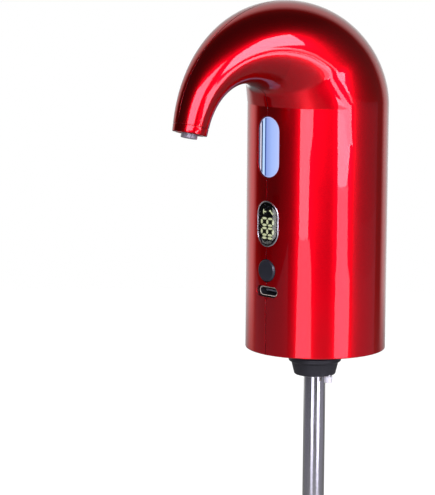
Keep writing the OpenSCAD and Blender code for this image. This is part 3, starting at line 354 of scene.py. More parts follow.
def lofted(rings, hollow=False):
    """Points and faces through rings of equal count, with end faces or, if hollow, joined end to end."""
    count, total = len(rings[0]), len(rings)
    points = [p for ring in rings for p in ring]
    faces = [] if hollow else [list(range(count)), list(range(len(points) - count, len(points)))]
    for k in range(total if hollow else total - 1):
        near, far = k * count, (k + 1) % total * count
        for i in range(count):
            j = (i + 1) % count
            faces.append((near + i, near + j, far + j, far + i))
    return points, faces


def turned(outline, steps=72, place=Matrix.Identity(4)):
    """Points and faces of a closed outline turned about the Z axis of a place."""
    turns = [tau * k / steps for k in range(steps)]
    rings = [[place @ Vector((r * cos(a), r * sin(a), z)) for r, z in outline] for a in turns]
    return lofted(rings, hollow=True)


def settled(piece):
    """The plain mesh of an object with its modifiers worked in; the object goes."""
    mesh = bpy.data.meshes.new_from_object(piece.evaluated_get(bpy.context.evaluated_depsgraph_get()))
    bpy.data.objects.remove(piece)
    return mesh


def carved(mesh, points, faces):
    """Cuts the shape given by points and faces out of a mesh."""
    block, tool = show("block", mesh), show("tool", solid_mesh("tool", points, faces))
    cut = block.modifiers.new("cut", "BOOLEAN")
    cut.operation = "DIFFERENCE"
    cut.solver = "EXACT"
    cut.object = tool
    result = settled(block)
    bpy.data.objects.remove(tool)
    return creased(result)


def block_shape(low, high, place=Matrix.Identity(4)):
    """Points and faces of a box between two corners."""
    points = [place @ Vector(corner) for corner in itertools.product(*zip(low, high))]
    return points, [(0, 1, 3, 2), (4, 6, 7, 5), (0, 4, 5, 1), (2, 3, 7, 6), (0, 2, 6, 4), (1, 5, 7, 3)]


tube_steel = finish("tube_steel", (0.60, 0.60, 0.59, 1), 0.10, 2600.0, 0.12, 0.26, 0.01, drawn, Metallic=1.0)
seal_rubber = finish("seal_rubber", (0.022, 0.022, 0.024, 1), 0.25, 1400.0, 0.42, 0.60, 0.03)
nylon = finish("nylon", (0.74, 0.73, 0.68, 1), 0.08, 1100.0, 0.38, 0.52, 0.02, Subsurface_Weight=0.05)
for name, (outside, low, high, body) in tubes.items():
    corners = ((outside - tube_wall, low), (outside, low), (outside, high), (outside - tube_wall, high))
    pipe = turned(filleted([(r, z, tube_round) for r, z in corners]), 64)
    fitted(name + "_drawn", pipe, tube_steel, "tube_steel", name, body=body)
fitted("tube_wiper", turned(filleted(wiper_profile)), seal_rubber, "seal_black", "tube_seal")
fitted("sliding_collar", turned(filleted(collar_profile)), nylon, "frame_white", "stop_collar",
       body="sliding_tube")
foot = solid_mesh("slotted_foot", *turned(filleted(foot_profile), 96))
for turn in slot_turns:
    foot = carved(foot, *block_shape(*foot_slot, Matrix.Rotation(radians(turn), 4, "Z")))
fitted("slotted_foot", foot, seal_rubber, "seal_black", "intake_foot", body="sliding_tube")

# Stopper. One moulding of black silicone rubber: a flange under the base, four sealing lands on a
# tapering plug, and a bead that is pulled through the base plate and holds it.
stopper_profile = [
    (5.15, 7, 0.3), (9.4, 7, 0.7), (9.4, 5.5, 0.2), (8.0, 5.5, 0), (8.0, 2.5, 0), (14.0, 2.5, 0.4),
    (14.0, 0, 0.9), (9.6, 0, 0.35), (9.6, -4, 0.6), (8.6, -4.6, 0.5), (8.6, -7, 0.5), (9.6, -7.5, 0.55),
    (9.6, -9, 0.55), (8.6, -9.5, 0.5), (8.6, -12, 0.5), (9.6, -12.5, 0.55), (9.6, -14, 0.55),
    (8.6, -14.5, 0.5), (8.6, -17, 0.5), (9.6, -17.5, 0.55), (9.6, -19, 0.55), (8.6, -19.5, 0.5),
    (7.5, -24, 0.6), (5.15, -24, 0.2)]
fitted("stopper_moulding", turned(filleted(stopper_profile), 96), seal_rubber, "seal_black", "stopper")
dressed(seal_rubber, "pump_gasket", "shaft_seal")

# Base plate, socket and pump. Off-white nylon mouldings: the plate closes the skirt and carries the
# gear pump, and the socket in its middle joins the dip tube to the suction hose.
dressed(nylon, "base_plate", "tube_socket", "vent_valve", "pump_base", "pump_housing", "pump_cover",
        "drive_gear", "idler_gear", "inner_frame")

# Motor. A rolled steel can with ferrite magnets, an armature of steel sheets wound in enamelled
# copper, a bronze commutator and bushes, and a black moulded end cap with the brushes.
bright_steel = finish("bright_steel", (0.56, 0.56, 0.55, 1), 0.12, 1500.0, 0.20, 0.36, 0.01, Metallic=1.0)
brass = finish("brass", (0.72, 0.50, 0.20, 1), 0.15, 1500.0, 0.22, 0.40, 0.01, Metallic=1.0)
copper = finish("copper", (0.62, 0.25, 0.10, 1), 0.30, 3000.0, 0.22, 0.42, 0.05, drawn, Metallic=1.0)
ferrite = finish("ferrite", (0.10, 0.10, 0.105, 1), 0.25, 2000.0, 0.55, 0.75, 0.03)
black_plastic = finish("black_plastic", (0.026, 0.026, 0.027, 1), 0.2, 1300.0, 0.38, 0.55, 0.02)
dressed(bright_steel, "motor_can", "motor_shaft", "motor_armature", "motor_screws", "pump_screws",
        "idler_pin", "casing_dowels", "hose_clips", "board_screws", "frame_screws")
dressed(brass, "battery_contacts", "motor_terminals", "motor_bushes", "motor_commutator")
dressed(copper, "motor_windings")
dressed(ferrite, "motor_magnets")
dressed(black_plastic, "motor_cap", "motor_brushes", "temperature_sensor", "pour_switch", "power_switch",
        "pour_plunger", "power_plunger", "display_module")

# Battery, board and wiring. A sleeved lithium cell beside the motor, a green lacquered board with the
# switches and sockets behind the controls, and insulated leads pressed and soldered between them.
cell_sleeve = finish("cell_sleeve", (0.05, 0.12, 0.42, 1), 0.1, 900.0, 0.25, 0.38, 0.01, Coat_Weight=0.3)
board_lacquer = finish("board_lacquer", (0.012, 0.11, 0.045, 1), 0.35, 1600.0, 0.28, 0.45, 0.02)
lead_jacket = finish("lead_jacket", (0.42, 0.02, 0.02, 1), 0.15, 1200.0, 0.40, 0.55, 0.01)
silicone = finish("silicone", (0.80, 0.80, 0.77, 1), 0.06, 800.0, 0.30, 0.45, 0.01,
                  Transmission_Weight=0.5, IOR=1.41)
dressed(cell_sleeve, "battery_cell")
dressed(board_lacquer, "control_board")
dressed(lead_jacket, "battery_leads", "motor_leads")
dressed(silicone, "spout_hose", "suction_hose")

# Nozzle. A pale moulded insert in the spout's ring with a barbed tail for the hose; a flange with
# six small holes lets air in round its mouth.
spout_y, spout_z, spout_lean = -62.6, 71.0, radians(13.3)
spout_place = Matrix.Translation((0, spout_y, spout_z)) @ Matrix.Rotation(-spout_lean, 4, "X")
nozzle_profile = [
    (2.0, -4.5, 0.15), (2.9, -4.5, 0.35), (2.9, -2.7, 0.1), (4.75, -2.7, 0.15), (4.75, -1.5, 0.1),
    (2.9, -1.5, 0.1), (2.9, 4, 0.1), (1.98, 4, 0), (1.98, 10, 0.2), (1.3, 10, 0.1), (1.3, 3, 0.1),
    (2.0, 3, 0.1)]
air_r, air_depth, air_ring, air_count = 0.45, -4, 3.825, 6
nozzle_plastic = finish("nozzle_plastic", (0.22, 0.19, 0.20, 1), 0.1, 900.0, 0.22, 0.36, 0.01,
                        Coat_Weight=0.3)
nozzle = solid_mesh("nozzle_insert", *turned(filleted(nozzle_profile), 72, spout_place))
for k in range(air_count):
    a = tau * k / air_count
    drill = [(0, air_depth), (air_r, air_depth), (air_r, 0), (0, 0)]
    place = spout_place @ Matrix.Translation((air_ring * cos(a), air_ring * sin(a), 0))
    nozzle = carved(nozzle, *turned(drill, 16, place))
fitted("nozzle_insert", nozzle, nozzle_plastic, "nozzle_grey", "aerator_nozzle")

# Casing. Two mirrored shells moulded in one colour and lacquered in a clear-coated metallic red, which
# meet in a fine seam; the body is round and runs up into a gooseneck that narrows to the spout.
body_r, bore_r, skirt_z, bend_z, spout_r = 25.5, 23.3, -14.0, 75.2, 6.3
wall_body, wall_spout = 2.2, 1.6
seam_gap, seam_round, hole_round, skirt_round, end_round = 0.15, 0.04, 0.07, 0.45, 0.20
tongue_depth, tongue_floor, tongue_gap = 0.5, 0.1, 0.01
edge_slack, spout_side_y, straight_cosine = 1e-3, -40, 0.97
pour_hole = dict(w=5.25, h=11.0, z=60.9)
display_hole = dict(w=5.3, h=8.3, z=33.5)
power_hole = dict(w=4.15, h=4.15, z=16.7)
socket_hole = dict(w=5.12, h=1.955, z=9.1)
straight_bore, front_x = (6.2, 8.6), 9
crease_end, crease_lean, flank_lean, crease_ease = 0.5, 0.30, 0.02, 0.06
flank_turn = (radians(66), radians(92))
columns, patch_columns, body_rows, neck_rows, neck_crowding = 72, 8, 60, 96, 1.7
hole_steps, side_steps, edge_steps, seam_step, patch_gap = 14, 10, 4, 1.5, 0.45
ledge_r, ledge_root, ledge_round, ledge_steps = 22.2, bore_r + 0.1, 0.2, 60
ledge_start, ledge_sweep = 0.3, 179.4
ledges = {"lower": (1.0, 2.35), "upper": (5.65, 7.0)}
lacquer_tone, flake_tone = (0.98, 0.0005, 0.010, 1), (1.176, 0.0012, 0.012, 1)
# The lacquer's tone is painted darker up the neck and towards the spout: painted shade, by height and by
# reach.
neck_shade_span, spout_shade_start = (-0.014, 0.1126), (-0.0255, -0.0300)
neck_shade_steps = [(0.0, 1.0), (0.47, 0.82), (0.68, 0.82), (0.86, 0.54)]
lacquer_rough = (0.285, 0.305)


def fall(angle):
    """The direction that falls towards the front, at an angle in degrees from straight down."""
    a = radians(angle)
    return Vector((-sin(a), -cos(a)))


across = Vector((-cos(spout_lean), sin(spout_lean)))
inner_end, outer_end = (Vector((spout_y, spout_z)) + side * spout_r * across for side in (-1, 1))
inner_rail = [Vector((-body_r, bend_z)), Vector((-body_r, bend_z + 1)), Vector((-20, 81.6)),
              inner_end - 27 * fall(17), inner_end]
outer_rail = [Vector((body_r, bend_z)), Vector((body_r, bend_z + 10)), Vector((18.3, 131.2)),
              outer_end - 52.3 * fall(9.6), outer_end]


def rail(points, t):
    """A point of the gooseneck's profile curve through five control points."""
    weights = [comb(4, k) * t ** k * (1 - t) ** (4 - k) for k in range(5)]
    return sum((w * p for w, p in zip(weights, points)), Vector((0, 0)))


def lesser(first, second, ease):
    """The smaller of two numbers, eased over where they are close."""
    return (first + second - hypot(first - second, ease)) / 2


def eased(value, low, high):
    """Rises smoothly from 0 at low to 1 at high."""
    share = min(max((value - low) / (high - low), 0), 1)
    return share * share * (3 - 2 * share)


def inner_side(t):
    """The gooseneck's inner profile, which leaves the body in a crease and leans forward at once."""
    point = rail(inner_rail, t)
    rise = max(point.y - bend_z, 0)
    if t < crease_end:
        point.x = lesser(point.x, -body_r - crease_lean * rise, crease_ease * rise)
    return point


def neck_point(t, angle):
    """The gooseneck's surface: angle runs round a section from its inner side."""
    inner, outer = inner_side(t), rail(outer_rail, t)
    middle, reach = (inner + outer) / 2, (outer - inner) / 2
    level = middle - reach * cos(angle)
    half_width = reach.length
    if t < crease_end:
        rise = max(middle.y - bend_z, 0)
        pinch = lesser(half_width, body_r - flank_lean * rise, crease_ease * rise) - half_width
        half_width += pinch * eased(angle, *flank_turn)
    return Vector((half_width * sin(angle), level.x, level.y))


def neck_normal(t, angle, step=1e-4):
    along = neck_point(min(t + step, 1), angle) - neck_point(max(t - step, 0), angle)
    round_it = neck_point(t, angle + step) - neck_point(t, angle - step)
    return round_it.cross(along).normalized()


def column_angle(k, radius):
    """The k-th column's angle, from just beside the front seam to just beside the back one."""
    first = asin((seam_gap + seam_round) / radius)
    return first + (pi - 2 * first) * k / columns


def half_outline(w, h, z):
    """The right half of a rounded hole from its top to its bottom, grown to leave room for the edge."""
    w, h = w + hole_round, h + hole_round
    r = min(w, h)
    first = seam_gap + seam_round
    corner = [(w - r + r * sin(a), h - r + r * cos(a))
              for a in (pi / 2 * s / hole_steps for s in range(hole_steps + 1))]
    side = [(w, h - r - 2 * (h - r) * s / side_steps) for s in range(1, side_steps)] if h > r else []
    outline = corner + side + [(x, -level) for x, level in reversed(corner)]
    edge, clear = (h, 0.3) if w > r else (sqrt(r * r - first * first) + h - r, 0.05)
    outline = [(first, edge)] + [p for p in outline if p[0] > first + clear] + [(first, -edge)]
    return [(x, z + level) for x, level in outline]


def front_patch(rows):
    """Triangles in (x, z) round the control holes, beside the front seam."""
    low, high = rows[0], rows[-1]
    xs = [body_r * sin(column_angle(k, body_r)) for k in range(patch_columns + 1)]
    holes = [half_outline(**hole) for hole in (pour_hole, display_hole, power_hole, socket_hole)]
    edge = [(x, low) for x in xs] + [(xs[-1], z) for z in rows[1:-1]] + [(x, high) for x in reversed(xs)]
    seam_from = high
    for hole in holes + [[]]:
        gap = seam_from - (hole[0][1] if hole else low)
        count = max(1, round(gap / seam_step))
        edge += [(xs[0], seam_from - gap * s / count) for s in range(1, count)] + hole
        seam_from = hole[-1][1] if hole else low
    inside = []
    for spot in (Vector((x, z)) for z in rows[1:-1] for x in xs[1:-1]):
        near_edge = min((spot - Vector(p)).length for p in edge) < patch_gap
        if not near_edge and not any(geometry.intersect_point_tri_2d(spot, (0, h[0][1]), h[k], h[k + 1])
                                     for h in holes for k in range(len(h) - 1)):
            inside.append(spot)
    loop = [list(range(len(edge)))]
    found = geometry.delaunay_2d_cdt([Vector(p) for p in edge] + inside, [], loop, 1, 1e-6)
    return found[0], found[2]


def shell_half():
    """Points, normals and faces of the right half: outer skin, rolled edges, walls and inner skin."""
    points, normals, inners, faces, index = [], [], [], [], {}

    def vertex(point, normal, wall, front=False):
        near = itertools.product(*[{round(c - 2e-5, 4), round(c + 2e-5, 4)} for c in point])
        key = next((k for k in near if k in index), None)
        if key is None:
            key = tuple(round(c, 4) for c in point)
            index[key] = len(points)
            points.append(Vector(point))
            normals.append(Vector(normal))
            inner = points[-1] - wall * normals[-1]
            if front:
                straight = Vector((point[0], -sqrt(bore_r ** 2 - point[0] ** 2), point[2]))
                inner = straight.lerp(inner, eased(abs(point[0]), *straight_bore))
            inners.append(inner)
        return index[key]

    def body_vertex(x, y, z):
        return vertex((x, y, z), (x / body_r, y / body_r, 0), wall_body, y < 0 and abs(x) < front_x)

    def join(grid, first, rows):
        for k, m in itertools.product(range(first, columns), range(rows)):
            faces.append([grid[k, m], grid[k + 1, m], grid[k + 1, m + 1], grid[k, m + 1]])

    low = skirt_z + skirt_round
    rows = [low + (bend_z - low) * k / body_rows for k in range(body_rows + 1)]
    spots, triangles = front_patch(rows)
    ids = [body_vertex(p.x, -sqrt(body_r ** 2 - p.x ** 2), p.y) for p in spots]
    faces += [[ids[k] for k in triangle] for triangle in triangles]
    angles = [column_angle(k, body_r) for k in range(columns + 1)]
    join({(k, m): body_vertex(body_r * sin(angles[k]), -body_r * cos(angles[k]), z)
          for k in range(patch_columns, columns + 1) for m, z in enumerate(rows)}, patch_columns, body_rows)
    neck = {}
    for m in range(neck_rows + 1):
        t = (m / neck_rows) ** neck_crowding
        radius = ((rail(outer_rail, t) - inner_side(t)) / 2).length
        wall = wall_body + (wall_spout - wall_body) * t
        for k in range(columns + 1):
            a = column_angle(k, radius)
            normal = (sin(a), -cos(a), 0) if m == 0 else neck_normal(t, a)
            neck[k, m] = vertex(neck_point(t, a), normal, wall)
    join(neck, 0, neck_rows)
    return rolled(points, normals, inners, faces)


def rolled(points, normals, inners, faces):
    """Rounds the free edge of a skin over, closes it down to the inner skin and gives the seam a floor."""
    used = {(face[k - 1], face[k]) for face in faces for k in range(len(face))}
    following = {a: b for a, b in used if (b, a) not in used}
    loop = [next(iter(following))]
    while following[loop[-1]] != loop[0]:
        loop.append(following[loop[-1]])
    total, size = len(points), len(loop)
    spots, after = list(enumerate(loop)), [*range(1, size), 0]
    seam_x = seam_gap + seam_round + edge_slack
    end = [points[v] for v in loop]

    def edge_round(a, b):
        if a.x < seam_x and b.x < seam_x:
            return seam_round
        if max(a.z, b.z) < skirt_z + skirt_round + edge_slack:
            return skirt_round
        return end_round if max(a.y, b.y) < spout_side_y else hole_round

    outs, rounds = [], []
    for k, v in spots:
        a, b = end[k], end[after[k]]
        outs.append((b - a).cross((normals[v] + normals[loop[after[k]]]) / 2).normalized())
        rounds.append(edge_round(a, b))
    moves, depths = [], []
    for k in range(size):
        b1, b2, f1, f2 = outs[k - 1], outs[k], rounds[k - 1], rounds[k]
        c = b1.dot(b2)
        if c > straight_cosine:
            moves.append((b1 + b2).normalized() * (f1 + f2) / 2)
        else:
            moves.append((b1 * (f1 - c * f2) + b2 * (f2 - c * f1)) / (1 - c * c))
        depths.append((f1 + f2) / 2)
    leans = [move.normalized() for move in moves]

    def at_seam(point, edge_point):
        return Vector((tongue_gap, point.y, point.z)) if edge_point.x < seam_x else point

    def next_ring(ring, places, directions):
        fresh = list(range(len(points), len(points) + size))
        points.extend(places)
        normals.extend(directions)
        faces.extend([ring[after[k]], ring[k], fresh[k], fresh[after[k]]] for k in range(size))
        return fresh

    ring = loop
    for s in range(1, edge_steps + 1):
        c, n = cos(pi / 2 * s / edge_steps), sin(pi / 2 * s / edge_steps)
        ring = next_ring(ring, [end[k] + moves[k] * n - normals[v] * depths[k] * (1 - c) for k, v in spots],
                         [(normals[v] * c + leans[k] * n).normalized() for k, v in spots])
    painted = len(faces)
    walls = [end[k] + moves[k] - normals[v] * tongue_depth for k, v in spots]
    floor = [at_seam(end[k] + moves[k] - normals[v] * (tongue_depth + tongue_floor), end[k])
             for k, v in spots]
    ring = next_ring(next_ring(ring, walls, leans), floor, leans)
    base = len(points)
    outer_faces = [face for face in faces if max(face) < total]
    rank = {v: k for k, v in spots}
    points += [at_seam(inners[v] + moves[rank[v]], points[v]) if v in rank else inners[v]
               for v in range(total)]
    normals += [-normals[v] for v in range(total)]
    faces += [[ring[after[k]], ring[k], base + v, base + loop[after[k]]] for k, v in spots]
    faces += [[base + v for v in reversed(face)] for face in outer_faces]
    return points, normals, faces, painted


def mixed(add, share, first, second):
    """The colour output of a mix of two colours."""
    return add("Mix", {0: share, 6: first, 7: second}, data_type="RGBA").outputs[2]


def ramp(add, value, stops):
    """A colour ramp through stops of a place and a colour."""
    node = add("ValToRGB", {"Fac": value})
    elements = node.color_ramp.elements
    while len(elements) < len(stops):
        elements.new(1.0)
    for element, (position, colour) in zip(elements, stops):
        element.position = position
        element.color = (*colour, 1)
    return node


def lacquer():
    """Clear-coated metallic red with painted shade that darkens it up the neck and towards the spout: a broad
    glow from the flakes under a sharp coat.
    """
    made, add = new_material("red_lacquer")
    place = here(add)
    axes = add("SeparateXYZ", {0: place}).outputs
    flakes = add("TexVoronoi", {"Vector": place, "Scale": 5200.0}).outputs
    shade_greys = [(position, (share,) * 3) for position, share in neck_shade_steps]
    shade_by_height = ramp(add, ranged(add, axes["Z"], neck_shade_span), shade_greys)
    shade_by_reach = ranged(add, axes["Y"], spout_shade_start, (1.0, neck_shade_steps[-1][1]))
    tone = mixed(add, flakes["Color"], lacquer_tone, flake_tone)
    neck_shaded_tone = scaled(add, tone, maths(add, "MINIMUM", shade_by_height, shade_by_reach))
    drift = noise(add, place, 60.0, 2.0)
    bump = add("Bump", {"Height": flakes["Distance"], "Strength": 0.08, "Distance": 0.004 * mm})
    return surfaced(made, add, Base_Color=neck_shaded_tone, Roughness=ranged(add, drift, noise_span, lacquer_rough),
                    Normal=bump, Metallic=1.0, Coat_Weight=1.0, Coat_Roughness=0.02, Coat_IOR=1.38,
                    Specular_Tint=(0.1, 0.1, 0.1, 1))


red_lacquer = lacquer()
# Bare moulded plastic on the seam's walls and floor and on the ledges, made near-black so that the seam shows
# as a dark line: partly the plastic's own colour, partly painted shade in the seam.
bare_red_and_seam_shade = finish("bare_plastic_and_seam_shade", (0.055, 0.002, 0.003, 1), 0.15, 1200.0, 0.40, 0.55, 0.01)
half_points, half_normals, half_faces, painted = shell_half()
for name, side in (("right_casing", 1), ("left_casing", -1)):
    mirror = Vector((side, 1, 1))
    mesh = raw_mesh(name + "_shell", [p * mirror * mm for p in half_points],
                    half_faces if side > 0 else [face[::-1] for face in half_faces])
    mesh.shade_smooth()
    mesh.normals_split_custom_set_from_vertices([n * mirror for n in half_normals])
    fitted(name + "_shell", mesh, red_lacquer, "casing_red", name)
    # The walls, the seam's floor and the inner skin take the near-black bare plastic, which paints shade into
    # the seam.
    mesh.materials.append(bare_red_and_seam_shade)
    for face in mesh.polygons[painted:]:
        face.material_index = 1
    for place, (low, high) in ledges.items():
        bead = filleted([(ledge_root, low, 0), (ledge_r, low, ledge_round), (ledge_r, high, ledge_round),
                         (ledge_root, high, 0)])
        turns = [side * radians(ledge_start + ledge_sweep * k / ledge_steps) for k in range(ledge_steps + 1)]
        rings = [[(r * sin(a), -r * cos(a), z) for r, z in bead] for a in turns]
        fitted(f"{name}_ledge_{place}", lofted(rings), bare_red_and_seam_shade, "casing_red")

# Spout ring. A short tapering collar in the same lacquer, pressed into the casing's end, where it
# covers the seam and holds the nozzle.
ring_profile = [(5.95, -0.06, 0), (5.95, -0.34, 0), (6.28, -0.34, 0.1), (6.106, -3, 0.5), (4.8, -3, 0.25),
                (4.8, -1.5, 0), (3.75, -1.5, 0.1), (3.75, 4, 0.1), (4.55, 4, 0.1), (4.55, -0.06, 0)]
spout_collar = turned(filleted(ring_profile, 6), 96, spout_place)
fitted("spout_collar", spout_collar, red_lacquer, "casing_red", "spout_ring")

# Pour button. A long pill of milky polycarbonate, polished and lit from behind by two diodes, that
# slides in the casing's upper hole; a flange behind the wall keeps it in.
pour_face_r, pour_half, pour_round = body_r - 0.4, (5.13, 10.88), 0.3
flange_half, flange_r, flange_back = (6.25, 12.0), 23.15, -21.0
cap_steps, round_steps, middle_inset = 20, 5, 0.05
lens_dark, lens_white, lens_navy = (0.01, 0.006, 0.04), (0.92, 0.90, 1.0), (0.002, 0.008, 0.06)
# The lens's colour bands across X are painted reflection: a dark, a white and a navy stripe down its left
# side, lighter blues to the right. Its rim is a painted highlight and its outer edge painted shade; all of
# them glow with the lens.
lens_painted_reflections = [
    (0.0, lens_dark), (0.07, lens_dark), (0.08, lens_white), (0.13, lens_white), (0.14, lens_navy),
    (0.205, lens_navy), (0.215, (0.50, 0.72, 1.0)), (0.325, (0.53, 0.74, 1.0)), (0.335, (0.02, 0.06, 0.26)),
    (0.385, (0.03, 0.08, 0.30)), (0.40, (0.25, 0.35, 0.72)), (0.65, (0.34, 0.48, 0.84)),
    (0.92, (0.42, 0.54, 0.86)), (1.0, (0.54, 0.54, 0.80))]
rim_highlight_span, rim_painted_highlight = (4.72 * mm, 4.80 * mm), (0.52, 0.52, 0.84, 1)
edge_shade_span, edge_painted_shade = (4.95 * mm, 5.04 * mm), (0.008, 0.006, 0.05, 1)
lens_glow, lens_body, lens_rough = 0.70, 0.4, (0.16, 0.28)


def pill(half_w, half_h):
    """Points (x, z) round an upright pill, from its right side over the top."""
    r = min(half_w, half_h)
    straight = half_h - r
    turns = [pi * s / cap_steps for s in range(cap_steps + 1)]
    outline = [(r * cos(a), straight + r * sin(a)) for a in turns]
    outline += [(-r, straight - 2 * straight * s / side_steps) for s in range(1, side_steps)]
    return outline + [(-x, -z) for x, z in outline]


def pill_ring(half, inset, z, face, drop=0.0):
    """A ring of a pill drawn in by inset; face is its Y or, if positive, the radius that it follows."""
    return [(x, (-sqrt(face * face - x * x) if face > 0 else face) + drop, z + level)
            for x, level in pill(half[0] - inset, half[1] - inset)]


def crowned_pill(half, z, face_r, edge):
    """Rings of a pill with a face that follows the body and a rounded edge."""
    insets = [half[0] - middle_inset, half[0] * 0.75, half[0] * 0.5, half[0] * 0.25, edge]
    insets += [edge * (1 - sin(pi / 2 * s / round_steps)) for s in range(1, round_steps + 1)]
    drops = [edge - sqrt(max(edge ** 2 - max(edge - inset, 0) ** 2, 0)) for inset in insets]
    return [pill_ring(half, inset, z, face_r, drop) for inset, drop in zip(insets, drops)]


def lens_material():
    """Milky blue light guide with painted reflections: bands across it, dark ones down its left side, a
    painted highlight round the rim and painted shade at its outer edge.
    """
    made, add = new_material("pour_lens")
    place = here(add)
    axes = add("SeparateXYZ", {0: place}).outputs
    bands = ramp(add, ranged(add, axes["X"], (-pour_half[0] * mm, pour_half[0] * mm)), lens_painted_reflections)
    from_middle = maths(add, "ABSOLUTE", maths(add, "SUBTRACT", axes["Z"], pour_hole["z"] * mm))
    past = maths(add, "SUBTRACT", from_middle, (pour_half[1] - pour_half[0]) * mm)
    reach = add("CombineXYZ", {"X": maths(add, "ABSOLUTE", axes["X"]), "Z": maths(add, "MAXIMUM", past, 0.0)})
    from_spine = add("VectorMath", {0: reach}, operation="LENGTH").outputs["Value"]
    highlighted = mixed(add, ranged(add, from_spine, rim_highlight_span), bands, rim_painted_highlight)
    with_edge_shade = mixed(add, ranged(add, from_spine, edge_shade_span), highlighted, edge_painted_shade)
    cloud = noise(add, place, 260.0, 3.0)
    return surfaced(made, add, Base_Color=scaled(add, with_edge_shade, lens_body), Emission_Color=with_edge_shade,
                    Roughness=ranged(add, cloud, (0.0, 1.0), lens_rough), Emission_Strength=lens_glow,
                    Specular_IOR_Level=0.2)


lens = lens_material()
pour_rings = crowned_pill(pour_half, pour_hole["z"], pour_face_r, pour_round)
for half, face in ((pour_half, flange_r), (flange_half, flange_r), (flange_half, flange_back)):
    pour_rings.append(pill_ring(half, 0, pour_hole["z"], face))
fitted("pour_button_lens", lofted(pour_rings), lens, "pour_lens", "pour_button", body="pour_button_body")
dressed(lens, "pour_leds")

# Display. A bright plated bezel pressed into the casing, a thin smoked window on its ledge and behind
# it the lit bars of a small figure display that reads upwards.
bezel_half, bezel_flange = (5.25, 8.25), (6.25, 9.25)
bezel_proud_r, bezel_lift, bezel_steps, bezel_back = body_r + 0.15, 0.24, 8, -22.1
bezel_band, bezel_ledge = 0.45, 1.1
window_half, window_r, window_back, window_round = (4.78, 7.78), body_r - 0.1, -24.6, 0.05
bar_plane, bar_thick, bar_sides, mark_slim = -24.35, 0.15, 8, 0.5
bar_dim, bar_bright, bar_body = (0.76, 0.80, 0.36, 1), (0.96, 0.96, 0.64, 1), (0.5, 0.52, 0.42, 1)
bar_glow, bar_rough = 2.2, 0.6
figure_high, figure_wide, figure_pitch, figure_top, figure_shift = 6.3, 3.2, 3.5, 34.1, -0.45
stroke, stroke_gap = 0.8, 0.75
figure_strokes = [((-1, 0, 1), (-1, 1)), ((-1, 0, 1), (-1, 1)), ((), (1,))]
unit_marks = [(-2.3, 37.7, 1.7, 90), (-1.6, 37.7, 1.3, 0), (1.4, 37.7, 2.0, 50), (0.75, 38.15, 0.7, 0),
              (2.05, 37.25, 0.7, 0)]
chrome = finish("chrome", (0.72, 0.69, 0.69, 1), 0.04, 900.0, 0.24, 0.32, 0.004, Metallic=1.0)
smoked = finish("smoked_window", (0.30, 0.31, 0.33, 1), 0.02, 600.0, 0.02, 0.05, 0.001,
                Transmission_Weight=1.0, IOR=1.49)
display_z = display_hole["z"]
bezel_levels = [(bezel_half, bezel_ledge, bezel_back), (bezel_flange, 0, bezel_back),
                (bezel_flange, 0, flange_r), (bezel_half, 0, flange_r)]
bezel_levels += [(bezel_half, bezel_band / 2 * (1 - cos(a)), bezel_proud_r - bezel_lift + bezel_lift * sin(a))
                 for a in (pi * s / bezel_steps for s in range(bezel_steps + 1))]
bezel_levels += [(bezel_half, inset, window_back) for inset in (bezel_band, bezel_ledge)]
bezel_rings = [pill_ring(half, inset, display_z, face) for half, inset, face in bezel_levels]
fitted("display_bezel_ring", lofted(bezel_rings, hollow=True), chrome, "bright_trim", "display_bezel")
window_rings = crowned_pill(window_half, display_z, window_r, window_round)
window_rings.append(pill_ring(window_half, 0, display_z, window_back))
pane = fitted("display_window_pane", lofted(window_rings), smoked, "display_glass", "display_window")
card_mirrors.objects.link(pane)


def named(add, label):
    return add("GeometryNodeInputNamedAttribute", {"Name": label}, data_type="FLOAT")


def bar_copy(add, given):
    """A blunt-ended bar that is sized and turned by its point's attributes."""
    half_turn = pi / bar_sides
    prism = add("GeometryNodeMeshCylinder", {"Vertices": bar_sides, "Radius": 0.5 / cos(half_turn),
                                             "Depth": 1.0})
    blunt = add("GeometryNodeTransform", {"Geometry": prism, "Rotation": (0, 0, half_turn)})
    width = maths(add, "MULTIPLY", given["Stroke"], named(add, "slim"))
    size = add("CombineXYZ", {"X": named(add, "length"), "Y": width, "Z": given["Thickness"]})
    spin = add("CombineXYZ", {"X": pi / 2, "Y": named(add, "turn")})
    return {"Instance": blunt, "Rotation": spin, "Scale": size}


def grown(name, points, attributes, copy, values):
    """A mesh with a copy on every point, in millimetres, that geometry nodes make from its attributes."""
    tree = bpy.data.node_groups.new(name, "GeometryNodeTree")
    kinds = {label: kind for label, (kind, value) in values.items()}
    socketed(tree, "INPUT", {"Points": "Geometry", **kinds})
    socketed(tree, "OUTPUT", {"Copies": "Geometry"})
    add = node_maker(tree)
    given = add("NodeGroupInput").outputs
    placed = add("GeometryNodeInstanceOnPoints", {"Points": given["Points"], **copy(add, given)})
    add("NodeGroupOutput", {0: add("GeometryNodeRealizeInstances", {0: placed})})
    seeds = raw_mesh(name, [Vector(p) * mm for p in points], [])
    for label, numbers in attributes.items():
        seeds.attributes.new(label, "FLOAT", "POINT").data.foreach_set("value", numbers)
    holder = show(name, seeds)
    nodes = holder.modifiers.new("nodes", "NODES")
    nodes.node_group = tree
    for item in tree.interface.items_tree:
        if item.name in values:
            nodes[item.identifier] = values[item.name][1]
    return settled(holder)


def lit_material():
    """Lit bars in a pale yellow-green that drifts a little over the field."""
    made, add = new_material("lit_bars")
    uneven = noise(add, here(add), 900.0, 1.0)
    return surfaced(made, add, Base_Color=bar_body, Roughness=bar_rough, Emission_Strength=bar_glow,
                    Emission_Color=mixed(add, uneven, bar_dim, bar_bright))


